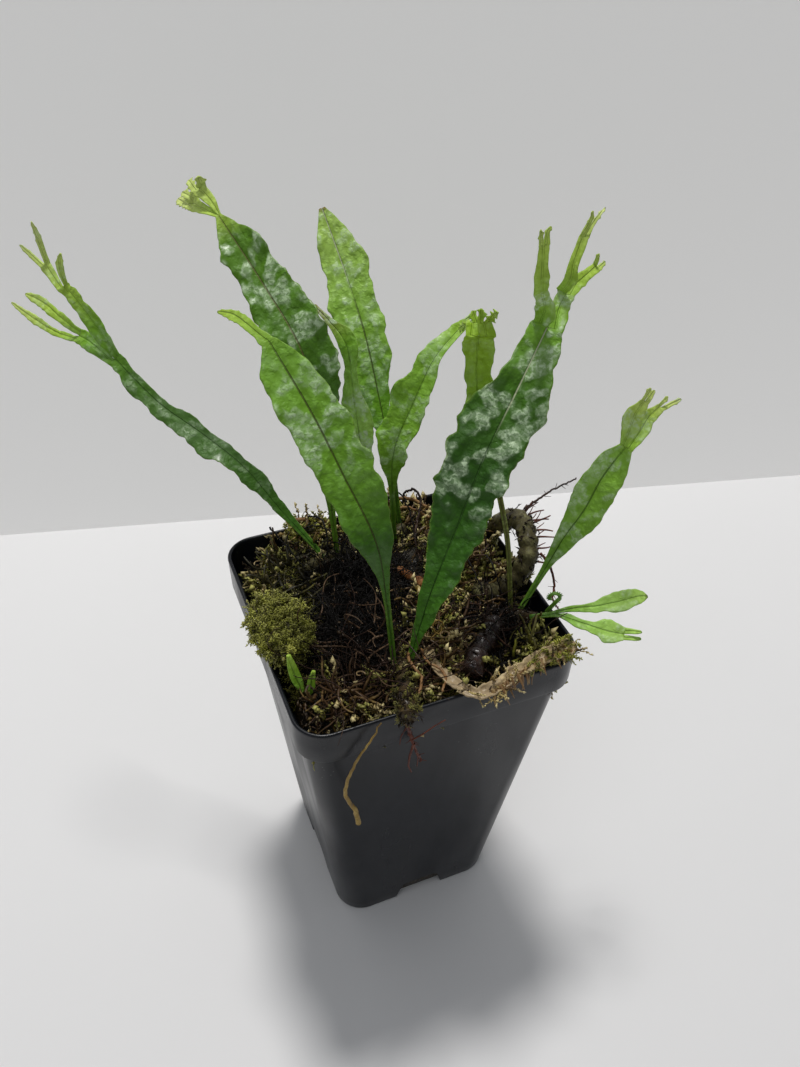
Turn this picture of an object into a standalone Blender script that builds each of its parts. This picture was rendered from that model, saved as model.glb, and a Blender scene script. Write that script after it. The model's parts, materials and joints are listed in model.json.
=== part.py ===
"""Potted java fern with forked frond tips, rooted in sphagnum moss in a square plastic nursery pot.

The origin is the centre of the pot's base on the table. +Z is up and -Y is the side with the draped strand.
All sizes below are in millimetres. The shapes are turned into metres as they are built.
"""

import math

import bmesh
import bpy
import numpy as np
from mathutils import Matrix, Vector

MM = 0.001

# Pot: a tapered square tub with a straight lip round its top
POT_TOP = 89.0
POT_HEIGHT = 130.0
POT_BASE = 59.0
POT_WALL = 0.9
LIP_HEIGHT = 12.6
LIP_STEP = 2.7
LIP_TAPER = 0.6
CORNER_TOP = 9.7
CORNER_BASE = 9.9
RIM_ROUND = 0.6
BASE_CHAMFER = 0.8
BASE_CHAMFER_HEIGHT = 1.0
NOTCH_WIDTH = 19.0
NOTCH_TOP_SHARE = 0.68
NOTCH_HEIGHT = 10.0
NOTCH_DEPTH = 6.0
NOTCH_OVERRUN = 4.0

GAP = 0.3
MOSS_LEVEL = 127.0
MOSS_EDGE_LEVEL = 122.0
MOSS_EDGE_SLOPE = 14.0
MOSS_BRIM = 116.0
MOSS_FLOOR_GAP = 0.5
PRESSED_REACH = 5.0
MOSS_RINGS = 8
MOSS_SIDE_STEPS = 9
# Rises and hollows of the moss: x, y, radius, height
MOSS_MOUNDS = [
    (-22, 34, 13, 4), (4, 38, 10, 3), (26, 24, 15, 4), (22, 2, 12, 3),
    (30, -38, 10, 2), (-22, 8, 10, -3), (-36, 36, 11, -7), (40, -20, 8, -4),
]

BLADE_THICKNESS = 0.5
STALK_THICKNESS = 1.6
BLADE_FOLD = 0.14
ROW_STEP = 11.0

# Rhizomes: the smooth path through these points, and the radius at its two ends
RHIZOMES = {
    "rhizome_arched": ([(43, 16, 133), (44.5, 9, 142), (44, 1, 147), (42.5, -6, 147), (40.5, -11, 142.5),
                        (36.5, -11, 135), (31, -10, 131), (24, -8, 131)], 3.3, 3.0),
    "rhizome_right": ([(31.5, -19.5, 128.5), (35, -20.5, 128.5), (38.5, -25.5, 129.5)], 2.2, 1.8),
    "rhizome_dark": ([(25, -22, 130.5), (21, -26, 131), (14, -33, 131), (8.5, -39, 130.5)], 3.2, 3.6),
    "rhizome_front": ([(-5, -20, 128), (-8, -28, 128), (-11, -37, 130.5), (-13.5, -44, 133.4),
                       (-15, -49, 133.6)], 2.4, 2.7),
    "rhizome_stub": ([(6, 11, 130.5), (8, 4, 132), (10, -3, 134)], 1.3, 1.6),
    "rhizome_back": ([(-22, 24, 128), (-10, 27, 128.4), (4, 27, 128.4), (17, 32, 128.2)], 2.3, 2.5),
}

# Wiry roots long enough to stand out alone: smooth path, and the radius at its two ends
ROOTS = {
    "root_back_loop": ([(19, 39, 134), (20, 39, 138), (22, 36, 140.5), (23, 33, 138), (20, 28, 135),
                        (16, 21, 132.5), (13.5, 10, 132)], 0.45, 0.35),
    "root_right_long": ([(48, 6, 147.5), (54, 9, 147), (62, 12, 147), (71, 13, 148.5)], 0.45, 0.3),
    "root_right_hanging": ([(44.5, -12, 144), (48, -13, 138), (49, -15.5, 132), (47.5, -18, 128.5),
                            (48.5, -20, 126)], 0.45, 0.3),
    "root_front_red": ([(-15, -47, 130), (-13.5, -46.5, 124), (-12, -46.4, 117), (-9.5, -46.2, 108)], 0.7, 0.4),
    "root_front_yellow": ([(-22, -46, 130.8), (-24.5, -46.4, 126), (-28.5, -46.4, 119.5), (-31.5, -46.2, 112),
                           (-33, -46, 104.5), (-31.5, -46, 98), (-30, -46, 93), (-29, -46, 86.5)], 0.4, 1.1),
}

DRIED_STRAND = ([(1.5, -23, 129.5), (0.5, -31, 130.8), (2, -40.5, 132.6), (6, -47, 132.8),
                 (12.5, -47, 132.7), (20, -44.5, 132.6), (28, -42, 132.4), (36, -41, 132.4),
                 (42, -41.5, 132.6)], 1.5, 1.7)

# Fronds. spine: points that the midrib runs through, from the foot up. face: where the blade's upper side
# looks, as (degrees round from +X, degrees up), at the foot and at the far end. left and right: half widths at
# even steps along the spine, on looking up the frond from its upper side. columns: strips across the blade.
# lobes: the two parts that it forks into, left then right, each a list of (x, y, z, half width) and then,
# where it forks again, a pair of lobes of its own.
FRONDS = {
    "frond_left": dict(
        spine=[(-16, 27, 132), (-25, 37, 144), (-33, 47, 156), (-43, 59, 164), (-54, 72, 171), (-64, 83, 183)],
        face=((-75, 45), (-100, 30)), columns=8, stalk=0.2,
        left=[0.9, 0.8, 1.9, 3.2, 4.4, 5.0, 5.2, 4.0, 4.2, 2.5],
        right=[0.9, 1.5, 2.4, 3.0, 2.4, 2.4, 3.0, 2.2, 2.0, 2.8],
        lobes=(
            ([(-70, 89, 187, 2.6), (-73, 93, 188, 2.6)], (
                ([(-79, 101, 186, 1.3), (-85, 107, 189, 1.2), (-91, 114, 193, 0.7)], None),
                ([(-77, 97, 193, 1.8), (-81, 103, 196, 1.7), (-86, 108, 198, 0.9)], None))),
            ([(-67, 87, 192, 2.6), (-71, 91, 200, 2.4), (-74, 94, 205, 2.2)], (
                ([(-78, 100, 210, 1.5)], (
                    ([(-81, 103, 212, 0.8), (-84, 106, 215, 0.4)], None),
                    ([(-78, 101, 217, 0.9), (-79, 100, 224, 0.4)], None))),
                ([(-74, 94, 211, 1.0), (-73, 93, 216, 0.5)], None))),
        )),
    "frond_back_left": dict(
        spine=[(-10, 26, 132), (-11, 28, 155), (-12, 31, 179), (-15, 36, 201), (-21, 53, 216), (-28, 71, 230)],
        face=((-112, 40), (-112, 35)), columns=8, stalk=0.3,
        left=[0.8, 1.0, 2.0, 4.5, 7.0, 8.7, 9.0, 8.0, 6.5, 5.5, 0.9],
        right=[0.8, 0.8, 1.8, 3.5, 5.8, 8.0, 9.2, 9.0, 7.7, 6.0, 0.9],
        lobes=(
            ([(-31, 77, 230, 1.6), (-33, 82, 230, 2.4)], (
                ([(-36, 90, 229, 1.0)], None),
                ([(-35, 87, 232, 0.8)], None))),
            ([(-29, 76, 233, 1.6), (-31, 80, 235, 2.4)], (
                ([(-33, 85, 236, 0.9)], None),
                ([(-31, 79, 239, 0.9)], None))),
        )),
    "frond_front_left": dict(
        spine=[(-10, -25, 132), (-11, -22, 152), (-13, -19, 172), (-18, -8, 188), (-23, 3, 203),
               (-29, 17, 217)],
        face=((-112, 45), (-112, 40)), columns=4, stalk=0.3,
        left=[0.8, 0.9, 0.8, 2.2, 5.5, 6.2, 7.0, 6.8, 7.8, 7.5, 2.2],
        right=[0.8, 0.8, 1.0, 2.0, 4.6, 7.4, 8.8, 8.4, 8.0, 6.0, 2.2],
        tail=[(-31, 20, 218, 1.4), (-33, 25, 219, 1.4), (-35, 31, 219, 1.3), (-38, 36, 218, 0.7)]),
    "frond_back": dict(
        spine=[(15, 33, 132), (14, 38, 153), (13, 46, 172), (12, 57, 191), (11, 73, 206), (9, 88, 221)],
        face=((-112, 40), (-112, 30)), columns=4, stalk=0.25,
        left=[0.8, 0.9, 1.8, 3.1, 5.5, 7.0, 7.6, 7.8, 7.0, 4.8, 1.0],
        right=[0.8, 0.9, 1.2, 2.0, 3.5, 5.2, 7.0, 6.8, 7.6, 5.5, 1.0]),
    "frond_centre": dict(
        spine=[(5, 26, 132), (5, 29, 149), (2, 33, 164), (1, 37, 181), (0, 41, 198), (-5, 55, 205)],
        face=((-112, 35), (-150, 45)), columns=4, stalk=0.3,
        left=[0.8, 0.8, 0.9, 1.4, 2.4, 3.6, 3.8, 2.0, 2.2, 1.0, 0.5],
        right=[0.8, 0.8, 0.8, 1.0, 3.2, 5.4, 3.8, 1.8, 3.8, 1.2, 0.5]),
    "frond_right_leaning": dict(
        spine=[(11, 27, 132), (10, 27, 150), (11, 28, 165), (18, 31, 178), (27, 35, 191), (40, 41, 198)],
        face=((-112, 45), (-112, 45)), columns=4, stalk=0.25,
        left=[0.8, 0.8, 1.0, 2.4, 5.0, 7.6, 7.6, 5.2, 4.0, 3.6, 1.6],
        right=[0.8, 0.8, 1.0, 2.6, 4.2, 4.6, 5.2, 3.8, 1.8, 1.4, 1.4],
        lobes=(([(44, 43, 200, 0.6)], None), ([(48, 45, 197, 0.5)], None))),
    "frond_small_crested": dict(
        spine=[(33, -16, 132), (34, -9, 149), (34, 0, 163), (35, 11, 175), (36, 23, 186), (36, 25, 202)],
        face=((-112, 35), (-112, 35)), columns=8, stalk=0.55,
        left=[0.7, 0.7, 0.7, 0.7, 0.8, 1.6, 3.8, 3.4, 4.4],
        right=[0.7, 0.7, 0.7, 0.8, 0.8, 1.0, 2.6, 5.2, 5.0],
        lobes=(
            ([(35.5, 28, 205, 2.2)], (([(36, 38, 198, 0.6)], None), ([(36, 30, 208, 0.6)], None))),
            ([(37, 24, 207, 2.2)], (([(36.5, 25, 211, 0.7)], None), ([(37, 16, 214, 0.7)], None))),
        )),
    "frond_front_right": dict(
        spine=[(-5, -27, 132), (2, -23, 151), (12, -17, 168), (21, -12, 185), (33, -5, 200), (45, 2, 215)],
        face=((-130, 50), (-112, 40)), columns=8, stalk=0.15,
        left=[0.9, 1.7, 2.9, 4.5, 6.7, 8.5, 10.5, 11.2, 10.2, 7.0, 5.4, 4.6],
        right=[0.9, 1.7, 4.2, 6.0, 7.4, 7.8, 8.0, 9.0, 9.8, 9.3, 7.0, 4.8],
        lobes=(
            ([(43, 1, 222, 2.4), (40, -1, 228, 2.1), (39, -2, 234, 1.5), (39, -1, 240, 1.2)], (
                ([(38, -2, 246, 0.4)], None), ([(40, -1, 245, 0.4)], None))),
            ([(50, 5, 218, 2.8), (53, 7, 221, 2.5)], (
                ([(53, 6, 226, 1.4), (54, 7, 230, 1.3), (57, 9, 236, 1.3)], (
                    ([(60, 10, 242, 0.5)], None), ([(66, 14, 241, 0.5)], None))),
                ([(58, 10, 222, 1.8), (62, 12, 223, 1.5), (66, 14, 224, 1.4)], (
                    ([(66, 14, 228, 0.4)], None), ([(71, 17, 223, 0.4)], None))))),
        )),
    "frond_right": dict(
        spine=[(36.5, -19, 132), (43, -17, 141), (49, -16, 152), (55, -16, 162), (60, -15, 172),
               (66, -15, 181)],
        face=((-112, 45), (-112, 40)), columns=8, stalk=0.25,
        left=[0.7, 0.9, 1.4, 2.4, 4.2, 5.8, 5.9, 4.6, 2.0],
        right=[0.7, 0.8, 1.4, 3.6, 5.2, 6.0, 6.4, 5.4, 2.2],
        lobes=(
            ([(66, -15, 187, 2.3), (67, -15, 192, 2.5), (69, -15, 196, 1.4)], (
                ([(70.5, -15, 200, 0.5)], None), ([(72, -15, 199, 0.5)], None))),
            ([(70, -15, 185, 2.0), (73, -14, 189, 2.0), (76, -14, 192, 1.4)], (
                ([(78, -14, 195, 0.5)], None), ([(83, -14, 193, 0.5)], None))),
        )),
    "frond_two_lobed": dict(
        spine=[(38.5, -26, 132), (41, -27, 132.5), (43.5, -27.5, 132.5)],
        face=((-112, 55), (-112, 55)), columns=8, stalk=0.9,
        left=[0.7, 0.8, 1.2], right=[0.7, 0.8, 1.2],
        lobes=(
            ([(50, -28, 133, 1.1), (56, -30, 133.5, 1.9), (63, -32, 135, 3.1), (68, -33, 136, 2.8),
              (71, -34, 136, 0.9)], None),
            ([(47, -31, 131.5, 1.8), (51, -35, 131.3, 1.8), (55, -38, 130.5, 3.4), (59, -41, 130.5, 2.4)], (
                ([(63, -44, 133, 0.5)], None), ([(63, -44.5, 130.5, 0.5)], None))),
        )),
    "seedling_leaf_left": dict(
        spine=[(-38, -24, 128), (-39, -22, 132), (-40, -20, 139)],
        face=((-112, 40), (-112, 40)), columns=2, stalk=0.3,
        left=[0.5, 1.5, 1.4, 0.5], right=[0.5, 1.5, 1.4, 0.5]),
    "seedling_leaf_right": dict(
        spine=[(-35.5, -25, 127), (-35, -24.5, 130), (-34, -24, 134)],
        face=((-112, 40), (-112, 40)), columns=2, stalk=0.3,
        left=[0.5, 1.2, 1.0, 0.4], right=[0.5, 1.2, 1.0, 0.4]),
    "young_leaf": dict(
        spine=[(14, 4, 132.5), (15.5, 6, 138), (17, 8, 144), (17.5, 9, 149)],
        face=((-112, 40), (-112, 40)), columns=2, stalk=0.2,
        left=[0.5, 1.7, 2.0, 0.5], right=[0.5, 1.7, 2.0, 0.5]),
}

# A young frond still rolled up: centre, radius of the curl, how far it has unrolled and its thickness
FIDDLEHEAD = dict(foot=(42.5, -23, 129.5), centre=(42.5, -25.5, 138), radius=2.0, turns=0.82, tighten=0.06,
                  from_angle=-60, points=8, thick=0.7, thin=0.5)

LEFT_CLUMP = dict(centre=(-38.5, -5.5, 135.4), radii=(8.0, 12.5, 4.8), lump=0.12)

COLOURS = {
    "pot_plastic": ((0.020, 0.023, 0.030), 0.38),
    "moss_olive": ((0.24, 0.20, 0.06), 0.95),
    "moss_yellow_green": ((0.33, 0.36, 0.06), 0.95),
    "dried_moss": ((0.34, 0.24, 0.10), 0.9),
    "rhizome_green_brown": ((0.075, 0.065, 0.03), 0.7),
    "rhizome_dark_brown": ((0.03, 0.015, 0.01), 0.45),
    "rhizome_orange_brown": ((0.25, 0.10, 0.03), 0.7),
    "root_dark": ((0.035, 0.018, 0.012), 0.6),
    "root_yellow": ((0.38, 0.26, 0.05), 0.6),
    "frond_dark": ((0.045, 0.16, 0.03), 0.35),
    "frond_mid": ((0.09, 0.25, 0.03), 0.35),
    "frond_light": ((0.22, 0.42, 0.06), 0.4),
}


def clear_scene():
    for obj in list(bpy.data.objects):
        bpy.data.objects.remove(obj, do_unlink=True)


def collection(name):
    found = bpy.data.collections.new(name)
    bpy.context.scene.collection.children.link(found)
    return found


def material(name):
    found = bpy.data.materials.get(name)
    if found:
        return found
    colour, roughness = COLOURS[name]
    made = bpy.data.materials.new(name)
    made.use_nodes = True
    shader = made.node_tree.nodes["Principled BSDF"]
    shader.inputs["Base Color"].default_value = (*colour, 1)
    shader.inputs["Roughness"].default_value = roughness
    made.diffuse_color = (*colour, 1)
    return made


def along(values, s):
    """Evenly spaced values, read smoothly at s, which runs from 0 to 1."""
    values = np.asarray(values, float)
    last = len(values) - 1
    place = np.asarray(s, float) * last
    index = np.clip(np.floor(place).astype(int), 0, last - 1)
    t = place - index
    before, start = values[np.clip(index - 1, 0, last)], values[index]
    end, after = values[index + 1], values[np.clip(index + 2, 0, last)]
    t = t.reshape(t.shape + (1,) * (values.ndim - 1))
    return start + 0.5 * t * (
        end - before + t * (2 * before - 5 * start + 4 * end - after + t * (3 * (start - end) + after - before))
    )


def unit(vector):
    return vector / np.linalg.norm(vector)


def direction(degrees_round, degrees_up):
    turn, rise = math.radians(degrees_round), math.radians(degrees_up)
    return np.array([math.cos(rise) * math.cos(turn), math.cos(rise) * math.sin(turn), math.sin(rise)])


def add_mesh(name, bm, parts, material_name):
    mesh = bpy.data.meshes.new(name)
    bm.to_mesh(mesh)
    bm.free()
    obj = bpy.data.objects.new(name, mesh)
    parts.objects.link(obj)
    mesh.materials.append(material(material_name))
    mesh.shade_smooth()
    mesh.set_sharp_from_angle(angle=math.radians(40))
    return obj


def rounded_square(side, corner, z, corner_steps=6, side_steps=1):
    """Points round a square with rounded corners, counter-clockwise seen from above."""
    points = []
    reach = side / 2 - corner
    for quarter in range(4):
        turn = Matrix.Rotation(quarter * math.pi / 2, 3, "Z")
        for step in range(corner_steps + 1):
            angle = step * math.pi / 2 / corner_steps
            x, y = reach + corner * math.cos(angle), reach + corner * math.sin(angle)
            points.append(turn @ Vector((x, y, z)))
        for step in range(1, side_steps):
            points.append(turn @ Vector((reach - 2 * reach * step / side_steps, side / 2, z)))
    return points


def loft(bm, rings):
    """Skin between rings of the same number of points. It returns the rings' vertices."""
    made = [[bm.verts.new([c * MM for c in point]) for point in ring] for ring in rings]
    for low, high in zip(made, made[1:]):
        for i, vertex in enumerate(low):
            after = (i + 1) % len(low)
            bm.faces.new((vertex, low[after], high[after], high[i]))
    return made


def body_width(z):
    """Outside width of the pot's tapered body."""
    under_lip = POT_TOP - LIP_TAPER - 2 * LIP_STEP
    return POT_BASE + (under_lip - POT_BASE) * z / (POT_HEIGHT - LIP_HEIGHT)


def body_corner(z):
    return CORNER_BASE + (CORNER_TOP - LIP_STEP - CORNER_BASE) * z / (POT_HEIGHT - LIP_HEIGHT)


def make_pot(parts, cutters):
    lip_bottom = POT_HEIGHT - LIP_HEIGHT
    outline = [
        (POT_BASE - 2 * BASE_CHAMFER, CORNER_BASE - BASE_CHAMFER, 0.0),
        (body_width(BASE_CHAMFER_HEIGHT), body_corner(BASE_CHAMFER_HEIGHT), BASE_CHAMFER_HEIGHT),
        (body_width(lip_bottom), body_corner(lip_bottom), lip_bottom),
        (POT_TOP - LIP_TAPER, CORNER_TOP, lip_bottom),
        (POT_TOP, CORNER_TOP, POT_HEIGHT - RIM_ROUND),
        (POT_TOP - 2 * RIM_ROUND, CORNER_TOP - RIM_ROUND, POT_HEIGHT),
    ]
    bm = bmesh.new()
    rings = loft(bm, [rounded_square(side, corner, z) for side, corner, z in outline])
    bm.faces.new(list(reversed(rings[0])))
    pot = add_mesh("pot", bm, parts, "pot_plastic")
    shell = pot.modifiers.new("wall", "SOLIDIFY")
    shell.thickness = POT_WALL * MM
    shell.offset = -1
    shell.use_even_offset = True
    for quarter in range(4):
        cut = bmesh.new()
        bmesh.ops.create_cube(cut, size=MM)
        bmesh.ops.scale(cut, vec=(NOTCH_WIDTH, NOTCH_DEPTH + NOTCH_OVERRUN, 2 * NOTCH_HEIGHT), verts=cut.verts)
        for vertex in cut.verts:
            if vertex.co.z > 0:
                vertex.co.x *= NOTCH_TOP_SHARE
        inward = -POT_BASE / 2 + (NOTCH_DEPTH - NOTCH_OVERRUN) / 2
        bmesh.ops.translate(cut, vec=(0, inward * MM, 0), verts=cut.verts)
        turn = Matrix.Rotation(quarter * math.pi / 2, 3, "Z")
        bmesh.ops.rotate(cut, cent=(0, 0, 0), matrix=turn, verts=cut.verts)
        mesh = bpy.data.meshes.new(f"notch_cutter_{quarter}")
        cut.to_mesh(mesh)
        cut.free()
        cutter = bpy.data.objects.new(mesh.name, mesh)
        cutters.objects.link(cutter)
        cutter.hide_render = True
        cutter.display_type = "WIRE"
        notch = pot.modifiers.new(f"drain notch {quarter}", "BOOLEAN")
        notch.operation = "DIFFERENCE"
        notch.object = cutter


def moss_height(x, y):
    """The moss's top at a place, kept under every rhizome that lies on it."""
    from_wall = POT_TOP / 2 - max(abs(x), abs(y))
    edge = min(max(from_wall / MOSS_EDGE_SLOPE, 0), 1)
    z = MOSS_EDGE_LEVEL + (MOSS_LEVEL - MOSS_EDGE_LEVEL) * edge * (2 - edge)
    for cx, cy, radius, height in MOSS_MOUNDS:
        z += height * math.exp(-(((x - cx) ** 2 + (y - cy) ** 2) / radius**2))
    for path, start, end in list(RHIZOMES.values()) + [DRIED_STRAND]:
        for s in np.linspace(0, 1, 25):
            px, py, pz = along(path, s)
            radius = start + (end - start) * s
            if math.hypot(x - px, y - py) < radius + PRESSED_REACH:
                z = min(z, pz - radius - 2 * GAP)
    return z


def make_moss_bed(parts):
    """A plug of moss that fills the pot, a gap's width inside its wall."""
    inset = 2 * (POT_WALL + GAP)
    floor = POT_WALL + MOSS_FLOOR_GAP
    floor_width = body_width(floor) - inset - 2 * BASE_CHAMFER
    brim_width = body_width(MOSS_BRIM) - inset
    bm = bmesh.new()
    sides = loft(bm, [
        rounded_square(floor_width, body_corner(floor) - inset / 2, floor, 3, MOSS_SIDE_STEPS),
        rounded_square(brim_width, body_corner(MOSS_BRIM) - inset / 2, MOSS_BRIM, 3, MOSS_SIDE_STEPS),
    ])
    bm.faces.new(list(reversed(sides[0])))
    edge = sides[1]
    for ring in range(MOSS_RINGS - 1, 0, -1):
        share = ring / MOSS_RINGS
        inner = []
        for vertex in sides[1]:
            x, y = vertex.co.x / MM * share, vertex.co.y / MM * share
            inner.append(bm.verts.new((x * MM, y * MM, moss_height(x, y) * MM)))
        for i, vertex in enumerate(edge):
            after = (i + 1) % len(edge)
            bm.faces.new((vertex, edge[after], inner[after], inner[i]))
        edge = inner
    peak = bm.verts.new((0, 0, moss_height(0, 0) * MM))
    for i, vertex in enumerate(edge):
        bm.faces.new((vertex, edge[(i + 1) % len(edge)], peak))
    add_mesh("moss_bed", bm, parts, "moss_olive")


def make_left_clump(parts):
    """The loose tuft that bulges over the left rim."""
    bm = bmesh.new()
    bmesh.ops.create_uvsphere(bm, u_segments=16, v_segments=9, radius=1)
    for vertex in bm.verts:
        x, y, z = vertex.co
        swell = 1 + LEFT_CLUMP["lump"] * math.sin(4 * math.atan2(y, x) + 1.3) * (1 - z * z)
        sizes = zip(LEFT_CLUMP["centre"], LEFT_CLUMP["radii"], (x * swell, y * swell, z))
        vertex.co = [MM * (centre + radius * value) for centre, radius, value in sizes]
    add_mesh("moss_clump_left", bm, parts, "moss_yellow_green")


def make_tube(name, parts, path, start, end, material_name, step, sides):
    """A round strand along the smooth path, its radius running from start to end."""
    fine = along(path, np.linspace(0, 1, 100))
    length = float(np.linalg.norm(np.diff(fine, axis=0), axis=1).sum())
    count = max(3, round(length / step) + 1)
    curve = bpy.data.curves.new(name, "CURVE")
    curve.dimensions = "3D"
    curve.bevel_depth = MM
    curve.bevel_resolution = sides
    curve.use_fill_caps = True
    spline = curve.splines.new("POLY")
    spline.points.add(count - 1)
    for i, s in enumerate(np.linspace(0, 1, count)):
        spline.points[i].co = (*(along(path, s) * MM), 1)
        spline.points[i].radius = start + (end - start) * s
    obj = bpy.data.objects.new(name, curve)
    parts.objects.link(obj)
    curve.materials.append(material(material_name))
    return obj


def make_fiddlehead(parts):
    """A short stalk that rises and rolls in on itself."""
    foot, centre = np.array(FIDDLEHEAD["foot"]), np.array(FIDDLEHEAD["centre"])
    across = direction(-22, 0)
    path = [foot]
    for step in range(FIDDLEHEAD["points"]):
        share = step / (FIDDLEHEAD["points"] - 1)
        angle = math.radians(FIDDLEHEAD["from_angle"]) + FIDDLEHEAD["turns"] * math.tau * share
        radius = FIDDLEHEAD["radius"] * (1 - FIDDLEHEAD["tighten"] * step)
        path.append(centre + radius * (across * math.cos(angle) + np.array([0, 0, 1]) * math.sin(angle)))
    make_tube("fiddlehead", parts, path, FIDDLEHEAD["thick"], FIDDLEHEAD["thin"], "frond_light", 1.4, 1)


class Blade:
    """Grows one frond as an open sheet of strips that can fork, ready for a Solidify modifier."""

    def __init__(self, shape):
        self.bm = bmesh.new()
        self.shape = shape
        self.stalk = self.bm.verts.layers.deform.verify()
        path = [np.array(point, float) for point in shape["spine"]]
        left, right, face = shape["left"], shape["right"], shape["face"]
        row = self.stretch(None, path, left, right, face, shape["columns"], shape["stalk"])
        if "tail" in shape:
            row = self.lobe(row, shape["tail"])
        if "lobes" in shape:
            self.fork(row, shape["lobes"])

    def fork(self, row, lobes):
        middle = len(row) // 2
        for part, (points, more) in zip((row[: middle + 1], row[middle:]), lobes):
            last = self.lobe(part, points)
            if more:
                self.fork(last, more)

    def lobe(self, row, points):
        start = sum((np.array(v.co) for v in row), np.zeros(3)) / len(row) / MM
        path = [start] + [np.array(point[:3], float) for point in points]
        first = np.linalg.norm(np.array(row[0].co) - np.array(row[-1].co)) / 2 / MM
        half = [first] + [point[3] for point in points]
        face = (self.shape["face"][1], self.shape["face"][1])
        return self.stretch(row, path, half, half, face, len(row) - 1, 0)

    def stretch(self, row, path, left, right, face, columns, stalk):
        """Rows of vertices along the path. It returns the last one."""
        fine = along(path, np.linspace(0, 1, 50))
        length = float(np.linalg.norm(np.diff(fine, axis=0), axis=1).sum())
        count = max(len(path) - 1, round(length / ROW_STEP))
        for i in range(0 if row is None else 1, count + 1):
            s = i / count
            ahead = unit(along(path, min(s + 0.01, 1)) - along(path, max(s - 0.01, 0)))
            looks = direction(*(np.array(face[0]) * (1 - s) + np.array(face[1]) * s))
            across = unit(np.cross(looks, ahead))
            upper = np.cross(ahead, across)
            centre = along(path, s)
            thick = max(0.0, 1 - s / stalk) if stalk else 0.0
            new = []
            for column in range(columns + 1):
                side = 1 - 2 * column / columns
                reach = side * float(along(left if side > 0 else right, s))
                point = centre + across * reach + upper * abs(reach) * BLADE_FOLD
                vertex = self.bm.verts.new(point * MM)
                vertex[self.stalk][0] = thick
                new.append(vertex)
            if row:
                for a, b, c, d in zip(row, row[1:], new[1:], new):
                    self.bm.faces.new((a, b, c, d))
            row = new
        return row


def make_frond(name, parts, shape, material_name):
    blade = Blade(shape)
    obj = add_mesh(name, blade.bm, parts, material_name)
    stalk = obj.vertex_groups.new(name="stalk")
    sheet = obj.modifiers.new("thickness", "SOLIDIFY")
    sheet.thickness = STALK_THICKNESS * MM
    sheet.offset = 0
    sheet.vertex_group = stalk.name
    sheet.thickness_vertex_group = BLADE_THICKNESS / STALK_THICKNESS
    return obj


FROND_COLOURS = {
    "frond_left": "frond_dark", "frond_back_left": "frond_dark", "frond_front_right": "frond_dark",
    "frond_front_left": "frond_mid", "frond_back": "frond_mid", "frond_centre": "frond_mid",
    "frond_right_leaning": "frond_mid", "frond_right": "frond_mid", "frond_two_lobed": "frond_mid",
}
RHIZOME_COLOURS = {"rhizome_dark": "rhizome_dark_brown", "rhizome_stub": "rhizome_orange_brown"}


def main():
    clear_scene()
    parts = collection("potted_java_fern")
    cutters = collection("cutters")
    make_pot(parts, cutters)
    make_moss_bed(parts)
    make_left_clump(parts)
    make_tube("dried_strand", parts, *DRIED_STRAND, "dried_moss", 4.5, 1)
    for name, (path, start, end) in RHIZOMES.items():
        make_tube(name, parts, path, start, end, RHIZOME_COLOURS.get(name, "rhizome_green_brown"), 3.5, 2)
    for name, (path, start, end) in ROOTS.items():
        colour = "root_yellow" if name == "root_front_yellow" else "root_dark"
        make_tube(name, parts, path, start, end, colour, 3.0, 1)
    make_fiddlehead(parts)
    for name, shape in FRONDS.items():
        make_frond(name, parts, shape, FROND_COLOURS.get(name, "frond_light"))


main()
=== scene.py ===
# %% [markdown]
# # Potted java fern
# A java fern of the kind whose frond tips fork, rooted in long-fibred sphagnum moss in a square
# nursery pot. The solid model of the plant is loaded first as a fixed frame. Each later cell builds one
# kind of piece in fine detail in the place that the frame gives it, and says why it is made that way.

# %% Load the frame
import json
import math

import bmesh
import bpy
import numpy as np
from mathutils import Matrix, Vector, noise
from mathutils.bvhtree import BVHTree

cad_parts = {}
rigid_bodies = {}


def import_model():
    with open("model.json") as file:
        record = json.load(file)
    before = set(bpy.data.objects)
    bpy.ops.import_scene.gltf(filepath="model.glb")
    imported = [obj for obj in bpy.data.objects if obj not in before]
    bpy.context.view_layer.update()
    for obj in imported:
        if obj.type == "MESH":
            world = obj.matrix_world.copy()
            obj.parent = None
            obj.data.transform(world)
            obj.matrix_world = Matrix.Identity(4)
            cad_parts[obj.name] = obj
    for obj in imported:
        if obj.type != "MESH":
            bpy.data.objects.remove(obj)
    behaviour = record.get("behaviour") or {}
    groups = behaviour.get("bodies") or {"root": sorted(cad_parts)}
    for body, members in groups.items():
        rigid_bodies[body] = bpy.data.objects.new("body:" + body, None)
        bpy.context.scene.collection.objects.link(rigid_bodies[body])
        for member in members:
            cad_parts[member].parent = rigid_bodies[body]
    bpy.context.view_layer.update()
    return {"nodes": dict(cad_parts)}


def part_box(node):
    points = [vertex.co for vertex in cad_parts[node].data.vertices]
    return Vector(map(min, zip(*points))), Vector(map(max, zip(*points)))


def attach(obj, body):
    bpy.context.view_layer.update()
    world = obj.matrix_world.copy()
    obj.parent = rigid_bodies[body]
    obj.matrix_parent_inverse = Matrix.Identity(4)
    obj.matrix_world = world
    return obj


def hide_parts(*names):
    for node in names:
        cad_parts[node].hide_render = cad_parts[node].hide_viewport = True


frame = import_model()
MM = 0.001

# %% [markdown]
# ## Small helpers for curves and meshes
# Stalks, rhizomes, roots and midribs all follow a smooth line through a few points. A Catmull-Rom
# curve runs through every one of its points, so the same numbers that place the solids place these.

# %% Curves and meshes


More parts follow.
